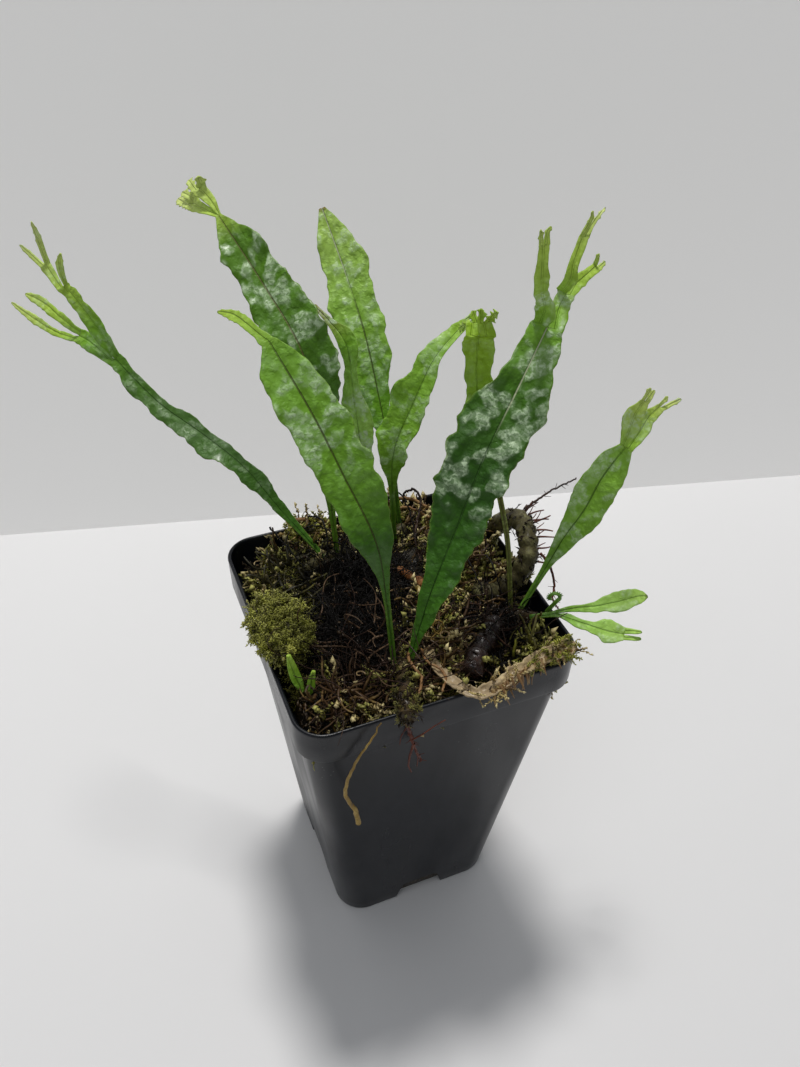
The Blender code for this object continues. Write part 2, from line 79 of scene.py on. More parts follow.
def along(values, s):
    """Evenly spaced values, read smoothly at s, which runs from 0 to 1."""
    values = np.asarray(values, float)
    last = len(values) - 1
    place = np.asarray(s, float) * last
    index = np.clip(np.floor(place).astype(int), 0, last - 1)
    t = place - index
    before, start = values[np.clip(index - 1, 0, last)], values[index]
    end, after = values[index + 1], values[np.clip(index + 2, 0, last)]
    t = t.reshape(t.shape + (1,) * (values.ndim - 1))
    return start + 0.5 * t * (
        end - before + t * (2 * before - 5 * start + 4 * end - after + t * (3 * (start - end) + after - before))
    )


def unit(vector):
    return vector / max(float(np.linalg.norm(vector)), 1e-9)


def ahead_on(path, s, gap):
    """The way a path runs at s, taken between two points a gap to either side."""
    return unit(along(path, min(s + gap, 1)) - along(path, max(s - gap, 0)))


def length_of(path, samples):
    fine = along(path, np.linspace(0, 1, samples))
    return float(np.linalg.norm(np.diff(fine, axis=0), axis=1).sum())


def direction(degrees_round, degrees_up):
    turn, rise = math.radians(degrees_round), math.radians(degrees_up)
    return np.array([math.cos(rise) * math.cos(turn), math.cos(rise) * math.sin(turn), math.sin(rise)])


def smooth_step(x):
    x = min(max(x, 0.0), 1.0)
    return x * x * (3 - 2 * x)


def wobble(x, y=0.0, z=0.0):
    """Smooth noise from about -1 to 1, the same on every run."""
    return noise.noise(Vector((x, y, z)))


def in_scene(name, data):
    obj = bpy.data.objects.new(name, data)
    bpy.context.scene.collection.objects.link(obj)
    return obj


def store(mesh, name, values):
    attribute = mesh.attributes.new(name, "FLOAT", "POINT")
    attribute.data.foreach_set("value", np.asarray(values, np.float32))


def turn_outward(mesh):
    repair = bmesh.new()
    repair.from_mesh(mesh)
    bmesh.ops.recalc_face_normals(repair, faces=repair.faces)
    repair.to_mesh(mesh)
    repair.free()


def mesh_object(name, vertices, faces, materials=()):
    """A mesh object at the origin, from points in millimetres."""
    mesh = bpy.data.meshes.new(name)
    mesh.from_pydata([tuple(float(c) * MM for c in v) for v in vertices], [], faces)
    mesh.update()
    obj = in_scene(name, mesh)
    for made in materials:
        mesh.materials.append(made)
    mesh.shade_smooth()
    return obj


def settle(obj):
    """Turns what the modifiers make into the object's plain mesh."""
    graph = bpy.context.evaluated_depsgraph_get()
    mesh = bpy.data.meshes.new_from_object(obj.evaluated_get(graph), depsgraph=graph)
    if obj.type == "MESH":
        obj.modifiers.clear()
        obj.data = mesh
        mesh.name = obj.name
        return obj
    made = bpy.data.objects.new(obj.name, mesh)
    name = obj.name
    bpy.data.objects.remove(obj)
    made.name = name
    bpy.context.scene.collection.objects.link(made)
    return made


def piece(obj, slot, *nodes):
    """Finishes a piece: its body and the solids it stands for. The slot that it is given is not used."""
    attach(obj, "root")
    if nodes:
        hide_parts(*nodes)
    count = sum(len(p.vertices) - 2 for p in obj.data.polygons)
    print(f"{obj.name}: {count} triangles")
    return obj


# %% [markdown]
# ## A short way to write node trees
# A material is a graph of nodes. `add` makes one node and sets or links its inputs in the same line, so
# each finish below reads from top to bottom like a recipe.

# %% Node helpers


def add(tree, kind, out=0, **settings):
    """Adds a node. Settings that name an input set it or link to it, and the others are the node's own."""
    made = tree.nodes.new(kind)
    for name, value in settings.items():
        key = name.replace("_", " ")
        index = int(name[1:]) if name[0] == "i" and name[1:].isdigit() else None
        socket = made.inputs[index] if index is not None else next((s for s in made.inputs if s.name == key), None)
        if socket is None:
            setattr(made, name, value)
        elif isinstance(value, bpy.types.NodeSocket):
            tree.links.new(value, socket)
        else:
            socket.default_value = value
    return made.outputs[out] if made.outputs else made


def maths(tree, operation, a, b=0.0):
    return add(tree, "ShaderNodeMath", operation=operation, i0=a, i1=b)


def times(tree, a, b):
    return maths(tree, "MULTIPLY", a, b)


def value_of(tree, name):
    """A number that the mesh carries at each point."""
    return add(tree, "ShaderNodeAttribute", out=2, attribute_name=name)


def object_space(tree):
    return add(tree, "ShaderNodeTexCoord", out=3)


def noise_at(tree, place, scale, detail):
    return add(tree, "ShaderNodeTexNoise", Vector=place, Scale=scale, Detail=detail)


def mix(tree, factor, a, b):
    made = tree.nodes.new("ShaderNodeMix")
    made.data_type = "RGBA"
    for index, value in ((0, factor), (6, a), (7, b)):
        if isinstance(value, bpy.types.NodeSocket):
            tree.links.new(value, made.inputs[index])
        else:
            made.inputs[index].default_value = (*value, 1) if index and len(value) == 3 else value
    return made.outputs[2]


def band(tree, value, low, high, to_low=0.0, to_high=1.0):
    """Value from low to high, eased, becomes to_low to to_high."""
    return add(tree, "ShaderNodeMapRange", interpolation_type="SMOOTHSTEP", i0=value, i1=low, i2=high,
               i3=to_low, i4=to_high)


def ramp(tree, value, stops):
    made = tree.nodes.new("ShaderNodeValToRGB")
    tree.links.new(value, made.inputs[0])
    elements = made.color_ramp.elements
    while len(elements) < len(stops):
        elements.new(0.5)
    for element, (place, colour) in zip(elements, stops):
        element.position = place
        element.color = (*colour, 1)
    return made.outputs[0]


def new_group(name, inputs, outputs):
    """An empty shader group with named inputs and outputs, and its two end nodes."""
    group = bpy.data.node_groups.new(name, "ShaderNodeTree")
    for label, kind, value in inputs:
        socket = group.interface.new_socket(label, in_out="INPUT", socket_type=kind)
        if value is not None:
            socket.default_value = value
    for label, kind in outputs:
        group.interface.new_socket(label, in_out="OUTPUT", socket_type=kind)
    return group, group.nodes.new("NodeGroupInput").outputs, group.nodes.new("NodeGroupOutput").inputs


def use_group(tree, group, **settings):
    made = tree.nodes.new("ShaderNodeGroup")
    made.node_tree = group
    for name, value in settings.items():
        socket = made.inputs[name.replace("_", " ")]
        if isinstance(value, bpy.types.NodeSocket):
            tree.links.new(value, socket)
        else:
            socket.default_value = (*value, 1) if hasattr(value, "__len__") and len(value) == 3 else value
    return made.outputs


def new_material(name, **constants):
    """A Principled material with its plain values set on the shader's own sockets."""
    made = bpy.data.materials.new(name)
    made.use_nodes = True
    shader = made.node_tree.nodes["Principled BSDF"]
    for label, value in constants.items():
        shader.inputs[label.replace("_", " ")].default_value = value
    return made, made.node_tree, shader


def wire(tree, shader, **links):
    for label, socket in links.items():
        tree.links.new(socket, shader.inputs[label.replace("_", " ")])


def bump(tree, height, strength, distance):
    return add(tree, "ShaderNodeBump", Strength=strength, Distance=distance * MM, Height=height)


# %% [markdown]
# ## Finishes that several materials share
# Everything that grows here is patchy: wet and dry, old and young, in the light and stained. One group
# mixes three tones by two sizes of noise. A second group draws the frond's surface from two distances,
# across from the midrib and along it, so the pattern follows the blade however it bends.

# %% Shared shader groups
VECTOR, FLOAT, COLOUR = "NodeSocketVector", "NodeSocketFloat", "NodeSocketColor"

patchy, given, gives = new_group(
    "patchy tones",
    [("Vector", VECTOR, None), ("Dark", COLOUR, (0.1, 0.1, 0.1, 1)), ("Middle", COLOUR, (0.2, 0.2, 0.2, 1)),
     ("Light", COLOUR, (0.5, 0.5, 0.5, 1)), ("Patches per metre", FLOAT, 100.0), ("Shift", FLOAT, 0.0)],
    [("Colour", COLOUR), ("Height", FLOAT)],
)
large = add(patchy, "ShaderNodeTexNoise", Vector=given["Vector"], Scale=given["Patches per metre"],
            Detail=3.0)
small = add(patchy, "ShaderNodeTexNoise", Vector=given["Vector"], Detail=2.0,
            Scale=times(patchy, given["Patches per metre"], 6.0))
tone = maths(patchy, "ADD", times(patchy, large, 0.7), times(patchy, small, 0.3))
tone = maths(patchy, "ADD", tone, given["Shift"])
darker = mix(patchy, band(patchy, tone, 0.30, 0.50), given["Dark"], given["Middle"])
patchy.links.new(mix(patchy, band(patchy, tone, 0.50, 0.72), darker, given["Light"]), gives["Colour"])
patchy.links.new(small, gives["Height"])

leaf, given, gives = new_group(
    "frond surface",
    [("Across", FLOAT, 0.0), ("Along", FLOAT, 0.0), ("Swell", FLOAT, 0.5), ("Rib width", FLOAT, 0.5),
     ("Cell size", FLOAT, 1.8), ("Seed", FLOAT, 0.0)],
    [("Rib", FLOAT), ("Net", FLOAT), ("Veil", FLOAT), ("Mottle", FLOAT), ("Height", FLOAT)],
)
place = add(leaf, "ShaderNodeCombineXYZ", X=given["Across"], Y=given["Along"], Z=given["Seed"])
push = add(leaf, "ShaderNodeTexNoise", out=1, Vector=place, Scale=0.8, Detail=2.0)
bent = add(leaf, "ShaderNodeVectorMath", operation="MULTIPLY_ADD", i0=push, i1=(2.2, 2.2, 0.0), i2=place)
cells = maths(leaf, "DIVIDE", 1.0, given["Cell size"])
edge = add(leaf, "ShaderNodeTexVoronoi", feature="SMOOTH_F1", Vector=bent, Scale=cells, Smoothness=0.6)
net = band(leaf, edge, 0.15, 0.75, 1.0, 0.0)
rib_distance = maths(leaf, "ABSOLUTE", given["Across"])
rib = band(leaf, maths(leaf, "DIVIDE", rib_distance, given["Rib width"]), 0.4, 1.3, 1.0, 0.0)
# Painted sheen: pale patches that favour the blisters' tops, grained and broken up by the cells.
sheen_patch = noise_at(leaf, place, 0.125, 1.5)
sheen_patch = maths(leaf, "ADD", sheen_patch, times(leaf, maths(leaf, "SUBTRACT", given["Swell"], 0.5), 0.30))
sheen_patch = band(leaf, sheen_patch, 0.49, 0.60)
crinkle = band(leaf, edge, 0.25, 0.75, 1.0, 0.30)
sheen_grain = band(leaf, noise_at(leaf, bent, 1.25, 3.0), 0.38, 0.58, 0.35, 1.0)
sheen_grain = times(leaf, sheen_grain, crinkle)
mottle = noise_at(leaf, place, 0.42, 4.0)
height = maths(leaf, "SUBTRACT", maths(leaf, "ADD", times(leaf, net, 0.6), mottle), rib)
for label, value in (("Rib", rib), ("Net", net), ("Veil", times(leaf, sheen_patch, sheen_grain)),
                     ("Mottle", mottle), ("Height", height)):
    leaf.links.new(value, gives[label])
print("shader groups:", [group.name for group in bpy.data.node_groups])

# %% [markdown]
# ## The pot
# The real pot is one injection-moulded shell: a tapering square tub, a straight lip that steps out near
# the top, and a notch in the middle of each bottom edge for water. A stack of rounded squares, from the
# foot up the outside, over the rim and down the inside, gives the shell in one skin of even thickness.
# The notches are then cut with Booleans, as the mould's cores do.

# %% The pot's shape
low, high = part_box("pot")
POT_TOP = (high.x - low.x) / MM
POT_HEIGHT = high.z / MM
POT_FOOT = 59.0
WALL = 0.9
RIM_RADIUS = 0.62
LIP_BOTTOM = POT_HEIGHT - 12.6
UNDER_LIP = 83.0
FOOT_CORNER, UNDER_LIP_CORNER, LIP_CORNER = 9.9, 7.0, 9.7


def tub(z):
    """Side and corner radius of the tub's outside at a height."""
    share = z / LIP_BOTTOM
    return POT_FOOT + (UNDER_LIP - POT_FOOT) * share, FOOT_CORNER + (UNDER_LIP_CORNER - FOOT_CORNER) * share


def rounded_square(side, corner, z, corner_steps=14, side_steps=10):
    """Points round a square with rounded corners, counter-clockwise seen from above."""
    points = []
    reach = side / 2 - corner
    for quarter in range(4):
        turn = Matrix.Rotation(quarter * math.pi / 2, 3, "Z")
        for step in range(corner_steps + 1):
            angle = step * math.pi / 2 / corner_steps
            points.append(turn @ Vector((reach + corner * math.cos(angle), reach + corner * math.sin(angle),
                                         z)))
        for step in range(1, side_steps):
            points.append(turn @ Vector((reach - 2 * reach * step / side_steps, side / 2, z)))
    return points


def stacked(rings):
    """Vertices and faces of a closed skin through rings of equally many points."""
    count = len(rings[0])
    vertices = [tuple(p) for ring in rings for p in ring]
    faces = [tuple(reversed(range(count)))]
    for level in range(len(rings) - 1):
        for i in range(count):
            a, b = level * count + i, level * count + (i + 1) % count
            faces.append((a, b, b + count, a + count))
    faces.append(tuple(range((len(rings) - 1) * count, len(rings) * count)))
    return vertices, faces


outside = [(tub(0)[0] - 2.6, tub(0)[1] - 1.3, 0.0), (tub(0)[0] - 1.0, tub(0)[1] - 0.5, 0.15),
           (tub(0)[0] - 0.2, tub(0)[1] - 0.1, 0.7), (*tub(1.6), 1.6)]
outside += [(*tub(z), z) for z in np.linspace(6, LIP_BOTTOM - 1.5, 12)]
outside += [(*tub(LIP_BOTTOM - 0.5), LIP_BOTTOM - 0.5),
            (UNDER_LIP + 0.6, UNDER_LIP_CORNER + 0.3, LIP_BOTTOM - 0.05),
            (POT_TOP - 2.2, LIP_CORNER - 0.8, LIP_BOTTOM),
            (POT_TOP - 0.9, LIP_CORNER - 0.2, LIP_BOTTOM + 0.25),
            (POT_TOP - 0.6, LIP_CORNER, LIP_BOTTOM + 0.8), (POT_TOP - 0.35, LIP_CORNER, POT_HEIGHT - 6.0),
            (POT_TOP - 0.1, LIP_CORNER, POT_HEIGHT - 1.3)]
rim = [(math.cos(a), math.sin(a)) for a in np.linspace(0, math.pi, 9)]
outside += [(POT_TOP - 2 * RIM_RADIUS * (1 - c), LIP_CORNER - RIM_RADIUS * (1 - c),
             POT_HEIGHT - RIM_RADIUS + RIM_RADIUS * s) for c, s in rim]
inside = [(POT_TOP - 2.6, LIP_CORNER - 1.2, POT_HEIGHT - 1.6),
          (POT_TOP - 2.8, LIP_CORNER - 1.3, LIP_BOTTOM + 1.6),
          (POT_TOP - 3.4, LIP_CORNER - 1.6, LIP_BOTTOM + 0.9)]
inside += [(tub(z)[0] - 2 * WALL, tub(z)[1] - WALL, z) for z in np.linspace(LIP_BOTTOM, 2.4, 8)]
inside += [(tub(0)[0] - 2 * WALL - 2.0, tub(0)[1] - WALL - 1.0, WALL)]
pot = mesh_object("nursery_pot", *stacked([rounded_square(*level) for level in outside + inside]))

cutters = []
for quarter in range(4):
    outline = [(-10.4, -1.0), (10.4, -1.0), (9.5, 0.0), (9.1, 1.2), (7.2, 8.4), (6.5, 9.6), (5.2, 10.0),
               (-5.2, 10.0), (-6.5, 9.6), (-7.2, 8.4), (-9.1, 1.2), (-9.5, 0.0)]
    near, far = -POT_FOOT / 2 - 6, -POT_FOOT / 2 + 6
    turn = Matrix.Rotation(quarter * math.pi / 2, 3, "Z")
    points = [turn @ Vector((x, y, z)) for y in (near, far) for x, z in outline]
    count = len(outline)
    sides = [(i, (i + 1) % count, (i + 1) % count + count, i + count) for i in range(count)]
    caps = [tuple(reversed(range(count))), tuple(range(count, 2 * count))]
    cutter = mesh_object(f"notch_{quarter}", points, [tuple(reversed(f)) for f in sides + caps])
    turn_outward(cutter.data)
    cut = pot.modifiers.new("notch", "BOOLEAN")
    cut.operation = "DIFFERENCE"
    cut.object = cutter
    cutters.append(cutter)
settle(pot)
for cutter in cutters:
    bpy.data.objects.remove(cutter)
pot.data.shade_smooth()
pot.data.set_sharp_from_angle(angle=math.radians(42))

# %% [markdown]
# The plastic is a nearly black blue-grey with a satin sheen. Handling and watering leave faint smears
# and a dusting of specks, so roughness drifts over the wall, and the mould's fine grain is a bump.

# %% The pot's plastic
plastic, tree, shader = new_material("satin_black_plastic", IOR=1.46, Specular_IOR_Level=0.34)
place = object_space(tree)
tones = use_group(tree, patchy, Vector=place, Dark=(0.003, 0.0038, 0.006), Middle=(0.005, 0.0062, 0.0095),
                  Light=(0.010, 0.0120, 0.017), Patches_per_metre=28.0)
speck_cells = add(tree, "ShaderNodeTexVoronoi", Vector=place, Scale=420.0)
speck = band(tree, speck_cells, 0.05, 0.11, 1.0, 0.0)
speck_here = band(tree, noise_at(tree, place, 70.0, 1.0), 0.56, 0.66)
speck = times(tree, speck, speck_here)
colour = mix(tree, times(tree, speck, 0.35), tones["Colour"], (0.35, 0.35, 0.33))
grain = noise_at(tree, place, 2600.0, 2.0)
smear = add(tree, "ShaderNodeTexNoise",
            Vector=add(tree, "ShaderNodeMapping", Vector=place, Scale=(1.0, 1.0, 0.25)),
            Scale=55.0, Detail=4.0)
roughness = maths(tree, "ADD", band(tree, smear, 0.35, 0.7, 0.27, 0.44), times(tree, speck, 0.3))
wire(tree, shader, Base_Color=colour, Roughness=roughness,
     Normal=bump(tree, maths(tree, "ADD", grain, speck), 0.25, 0.05))
pot.data.materials.append(plastic)
piece(pot, "pot", "pot")

# %% [markdown]
# ## The fronds
# A java fern's frond is one thin leathery strap on a short stalk. Its margins ruffle, the surface between
# the side veins swells into blisters, and in this form the tip forks again and again. A frond is grown here
# row by row: each row of points lies across the midrib, and at a fork the row splits in two and each half
# grows on by itself. The strap forks inside the sheet that way, with no seam. Half widths are given at even
# steps, so the outline of every frond is its own.

# %% The fronds' lines and widths
# spine: points that the midrib runs through, from the foot up. face: where the blade's upper side looks, as
# (degrees round from +X, degrees up), at the foot and at the far end. left and right: half widths at even
# steps, on looking up the frond from its upper side. lobes: the two parts that it forks into, left then
# right, each a list of (x, y, z, half width) and then, where it forks again, a pair of lobes of its own.
FRONDS = {
    "frond_left": dict(
        spine=[(-16, 27, 132), (-25, 37, 144), (-33, 47, 156), (-43, 59, 164), (-54, 72, 171),
               (-64, 83, 183)],
        face=((-75, 45), (-100, 30)), columns=8, stalk=0.2,
        left=[0.9, 0.8, 1.9, 3.2, 4.4, 5.0, 5.2, 4.0, 4.2, 2.5],
        right=[0.9, 1.5, 2.4, 3.0, 2.4, 2.4, 3.0, 2.2, 2.0, 2.8],
        lobes=(
            ([(-70, 89, 187, 2.6), (-73, 93, 188, 2.6)], (
                ([(-79, 101, 186, 1.3), (-85, 107, 189, 1.2), (-91, 114, 193, 0.7)], None),
                ([(-77, 97, 193, 1.8), (-81, 103, 196, 1.7), (-86, 108, 198, 0.9)], None))),
            ([(-67, 87, 192, 2.6), (-71, 91, 200, 2.4), (-74, 94, 205, 2.2)], (
                ([(-78, 100, 210, 1.5)], (
                    ([(-81, 103, 212, 0.8), (-84, 106, 215, 0.4)], None),
                    ([(-78, 101, 217, 0.9), (-79, 100, 224, 0.4)], None))),
                ([(-74, 94, 211, 1.0), (-73, 93, 216, 0.5)], None))),
        )),
    "frond_back_left": dict(
        spine=[(-10, 26, 132), (-11, 28, 155), (-12, 31, 179), (-15, 36, 201), (-21, 53, 216),
               (-28, 71, 230)],
        face=((-112, 40), (-112, 35)), columns=8, stalk=0.3,
        left=[0.8, 1.0, 2.0, 4.5, 7.0, 8.7, 9.0, 8.0, 6.5, 5.5, 0.9],
        right=[0.8, 0.8, 1.8, 3.5, 5.8, 8.0, 9.2, 9.0, 7.7, 6.0, 0.9],
        lobes=(
            ([(-31, 77, 230, 1.6), (-33, 82, 230, 2.4)], (
                ([(-36, 90, 229, 1.0)], None),
                ([(-35, 87, 232, 0.8)], None))),
            ([(-29, 76, 233, 1.6), (-31, 80, 235, 2.4)], (
                ([(-33, 85, 236, 0.9)], None),
                ([(-31, 79, 239, 0.9)], None))),
        )),
    "frond_front_left": dict(
        spine=[(-10, -25, 132), (-11, -22, 152), (-13, -19, 172), (-18, -8, 188), (-23, 3, 203),
               (-29, 17, 217)],
        face=((-112, 45), (-112, 40)), columns=4, stalk=0.3,
        left=[0.8, 0.9, 0.8, 2.2, 5.5, 6.2, 7.0, 6.8, 7.8, 7.5, 2.2],
        right=[0.8, 0.8, 1.0, 2.0, 4.6, 7.4, 8.8, 8.4, 8.0, 6.0, 2.2],
        tail=[(-31, 20, 218, 1.4), (-33, 25, 219, 1.4), (-35, 31, 219, 1.3), (-38, 36, 218, 0.7)]),
    "frond_back": dict(
        spine=[(15, 33, 132), (14, 38, 153), (13, 46, 172), (12, 57, 191), (11, 73, 206), (9, 88, 221)],
        face=((-112, 40), (-112, 30)), columns=4, stalk=0.25,
        left=[0.8, 0.9, 1.8, 3.1, 5.5, 7.0, 7.6, 7.8, 7.0, 4.8, 1.0],
        right=[0.8, 0.9, 1.2, 2.0, 3.5, 5.2, 7.0, 6.8, 7.6, 5.5, 1.0]),
    "frond_centre": dict(
        spine=[(5, 26, 132), (5, 29, 149), (2, 33, 164), (1, 37, 181), (0, 41, 198), (-5, 55, 205)],
        face=((-112, 35), (-150, 45)), columns=4, stalk=0.3,
        left=[0.8, 0.8, 0.9, 1.4, 2.4, 3.6, 3.8, 2.0, 2.2, 1.0, 0.5],
        right=[0.8, 0.8, 0.8, 1.0, 3.2, 5.4, 3.8, 1.8, 3.8, 1.2, 0.5]),
    "frond_right_leaning": dict(
        spine=[(11, 27, 132), (10, 27, 150), (11, 28, 165), (18, 31, 178), (27, 35, 191), (40, 41, 198)],
        face=((-112, 45), (-112, 45)), columns=4, stalk=0.25,
        left=[0.8, 0.8, 1.0, 2.4, 5.0, 7.6, 7.6, 5.2, 4.0, 3.6, 1.6],
        right=[0.8, 0.8, 1.0, 2.6, 4.2, 4.6, 5.2, 3.8, 1.8, 1.4, 1.4],
        lobes=(([(44, 43, 200, 0.6)], None), ([(48, 45, 197, 0.5)], None))),
    "frond_small_crested": dict(
        spine=[(33, -16, 132), (34, -9, 149), (34, 0, 163), (35, 11, 175), (36, 23, 186), (36, 25, 202)],
        face=((-112, 35), (-112, 35)), columns=8, stalk=0.55,
        left=[0.7, 0.7, 0.7, 0.7, 0.8, 1.6, 3.8, 3.4, 4.4],
        right=[0.7, 0.7, 0.7, 0.8, 0.8, 1.0, 2.6, 5.2, 5.0],
        lobes=(
            ([(35.5, 28, 205, 2.2)], (([(36, 38, 198, 0.6)], None), ([(36, 30, 208, 0.6)], None))),
            ([(37, 24, 207, 2.2)], (([(36.5, 25, 211, 0.7)], None), ([(37, 16, 214, 0.7)], None))),
        )),
    "frond_front_right": dict(
        spine=[(-5, -27, 132), (2, -23, 151), (12, -17, 168), (21, -12, 185), (33, -5, 200), (45, 2, 215)],
        face=((-130, 50), (-112, 40)), columns=8, stalk=0.15,
        left=[0.9, 1.7, 2.9, 4.5, 6.7, 8.5, 10.5, 11.2, 10.2, 7.0, 5.4, 4.6],
        right=[0.9, 1.7, 4.2, 6.0, 7.4, 7.8, 8.0, 9.0, 9.8, 9.3, 7.0, 4.8],
        lobes=(
            ([(43, 1, 221.5, 3.2), (40.6, -0.6, 226.5, 2.0), (39.4, -1.6, 231, 1.9), (39, -1.6, 236, 1.3),
              (38.8, -1.2, 240.5, 1.1)], (
                ([(37.4, -2, 243, 0.5), (36.9, -2.4, 245.3, 0.25)], None),
                ([(39.8, -0.8, 243.5, 0.5), (40.8, -0.6, 245, 0.25)], None))),
            ([(50, 5, 218, 2.9), (53, 7, 221, 2.5)], (
                ([(53, 6, 226, 1.6), (54, 7, 230, 1.2), (57, 9, 236, 1.1)], (
                    ([(58.6, 9.4, 239.5, 0.6), (59.6, 10, 242.5, 0.25)], None),
                    ([(61.5, 11.6, 238.6, 0.6), (66, 14, 241, 0.25)], None))),
                ([(58, 10, 222, 1.9), (62, 12, 223, 1.4), (66, 14, 224, 1.2)], (
                    ([(66.4, 14, 227.8, 0.3)], None), ([(71, 17, 223.4, 0.3)], None))))),
        )),
    "frond_right": dict(
        spine=[(36.5, -19, 132), (43, -17, 141), (49, -16, 152), (55, -16, 162), (60, -15, 172),
               (66, -15, 181)],
        face=((-112, 45), (-112, 40)), columns=8, stalk=0.25,
        left=[0.7, 0.9, 1.4, 2.4, 4.2, 5.8, 5.9, 4.6, 2.0],
        right=[0.7, 0.8, 1.4, 3.6, 5.2, 6.0, 6.4, 5.4, 2.2],
        lobes=(
            ([(66, -15, 187, 2.3), (67, -15, 192, 2.5), (69, -15, 196, 1.4)], (
                ([(70.5, -15, 200, 0.5)], None), ([(72, -15, 199, 0.5)], None))),
            ([(70, -15, 185, 2.0), (73, -14, 189, 2.0), (76, -14, 192, 1.4)], (
                ([(78, -14, 195, 0.5)], None), ([(83, -14, 193, 0.5)], None))),
        )),
    "frond_two_lobed": dict(
        spine=[(38.5, -26, 132), (41, -27, 132.5), (43.5, -27.5, 132.5)],
        face=((-112, 55), (-112, 55)), columns=8, stalk=0.9,
        left=[0.7, 0.8, 1.2], right=[0.7, 0.8, 1.2],
        lobes=(
            ([(50, -28, 133, 1.1), (56, -30, 133.5, 1.9), (63, -32, 135, 3.1), (68, -33, 136, 2.8),
              (71, -34, 136, 0.9)], None),
            ([(47, -31, 131.5, 1.8), (51, -35, 131.3, 1.8), (55, -38, 130.5, 3.4), (59, -41, 130.5, 2.4)], (
                ([(63, -44, 133, 0.5)], None), ([(63, -44.5, 130.5, 0.5)], None))),
        )),
    "seedling_leaf_left": dict(
        spine=[(-38, -24, 128), (-39, -22, 132), (-40, -20, 139)],
        face=((-112, 40), (-112, 40)), columns=2, stalk=0.3,
        left=[0.5, 1.5, 1.4, 0.5], right=[0.5, 1.5, 1.4, 0.5]),
    "seedling_leaf_right": dict(
        spine=[(-35.5, -25, 127), (-35, -24.5, 130), (-34, -24, 134)],
        face=((-112, 40), (-112, 40)), columns=2, stalk=0.3,
        left=[0.5, 1.2, 1.0, 0.4], right=[0.5, 1.2, 1.0, 0.4]),
    "young_leaf": dict(
        spine=[(14, 4, 132.5), (15.5, 6, 138), (17, 8, 144), (17.5, 9, 149)],
        face=((-112, 40), (-112, 40)), columns=2, stalk=0.2,
        left=[0.5, 1.7, 2.0, 0.5], right=[0.5, 1.7, 2.0, 0.5]),
}

# %% [markdown]
# The relief is real geometry, because light skims over it and shows every swelling. `relief` gives the
# height at a place on the blade: a groove over the midrib, blisters between side veins that leave the
# midrib at a slant, and a ruffle that grows towards the margin. A thickness profile goes with it, so the
# stalk is round, the midrib stands out underneath and the margin is thin.

# %% Grow a frond
BLADE_FOLD = 0.14
STRIPS = 24
STALK_THICKNESS = 1.3
SHEET_THICKNESS = 0.42
MARGIN_THICKNESS = 0.22
RIB_THICKNESS = 0.75
SIDE_VEIN_SPACING = 6.2
ROW_STEP, LOBE_ROW_STEP = 0.95, 0.55
BURIED_FOOT = 3.5
MARGIN_WAVE, LOBE_WAVE = 1.7, 0.45


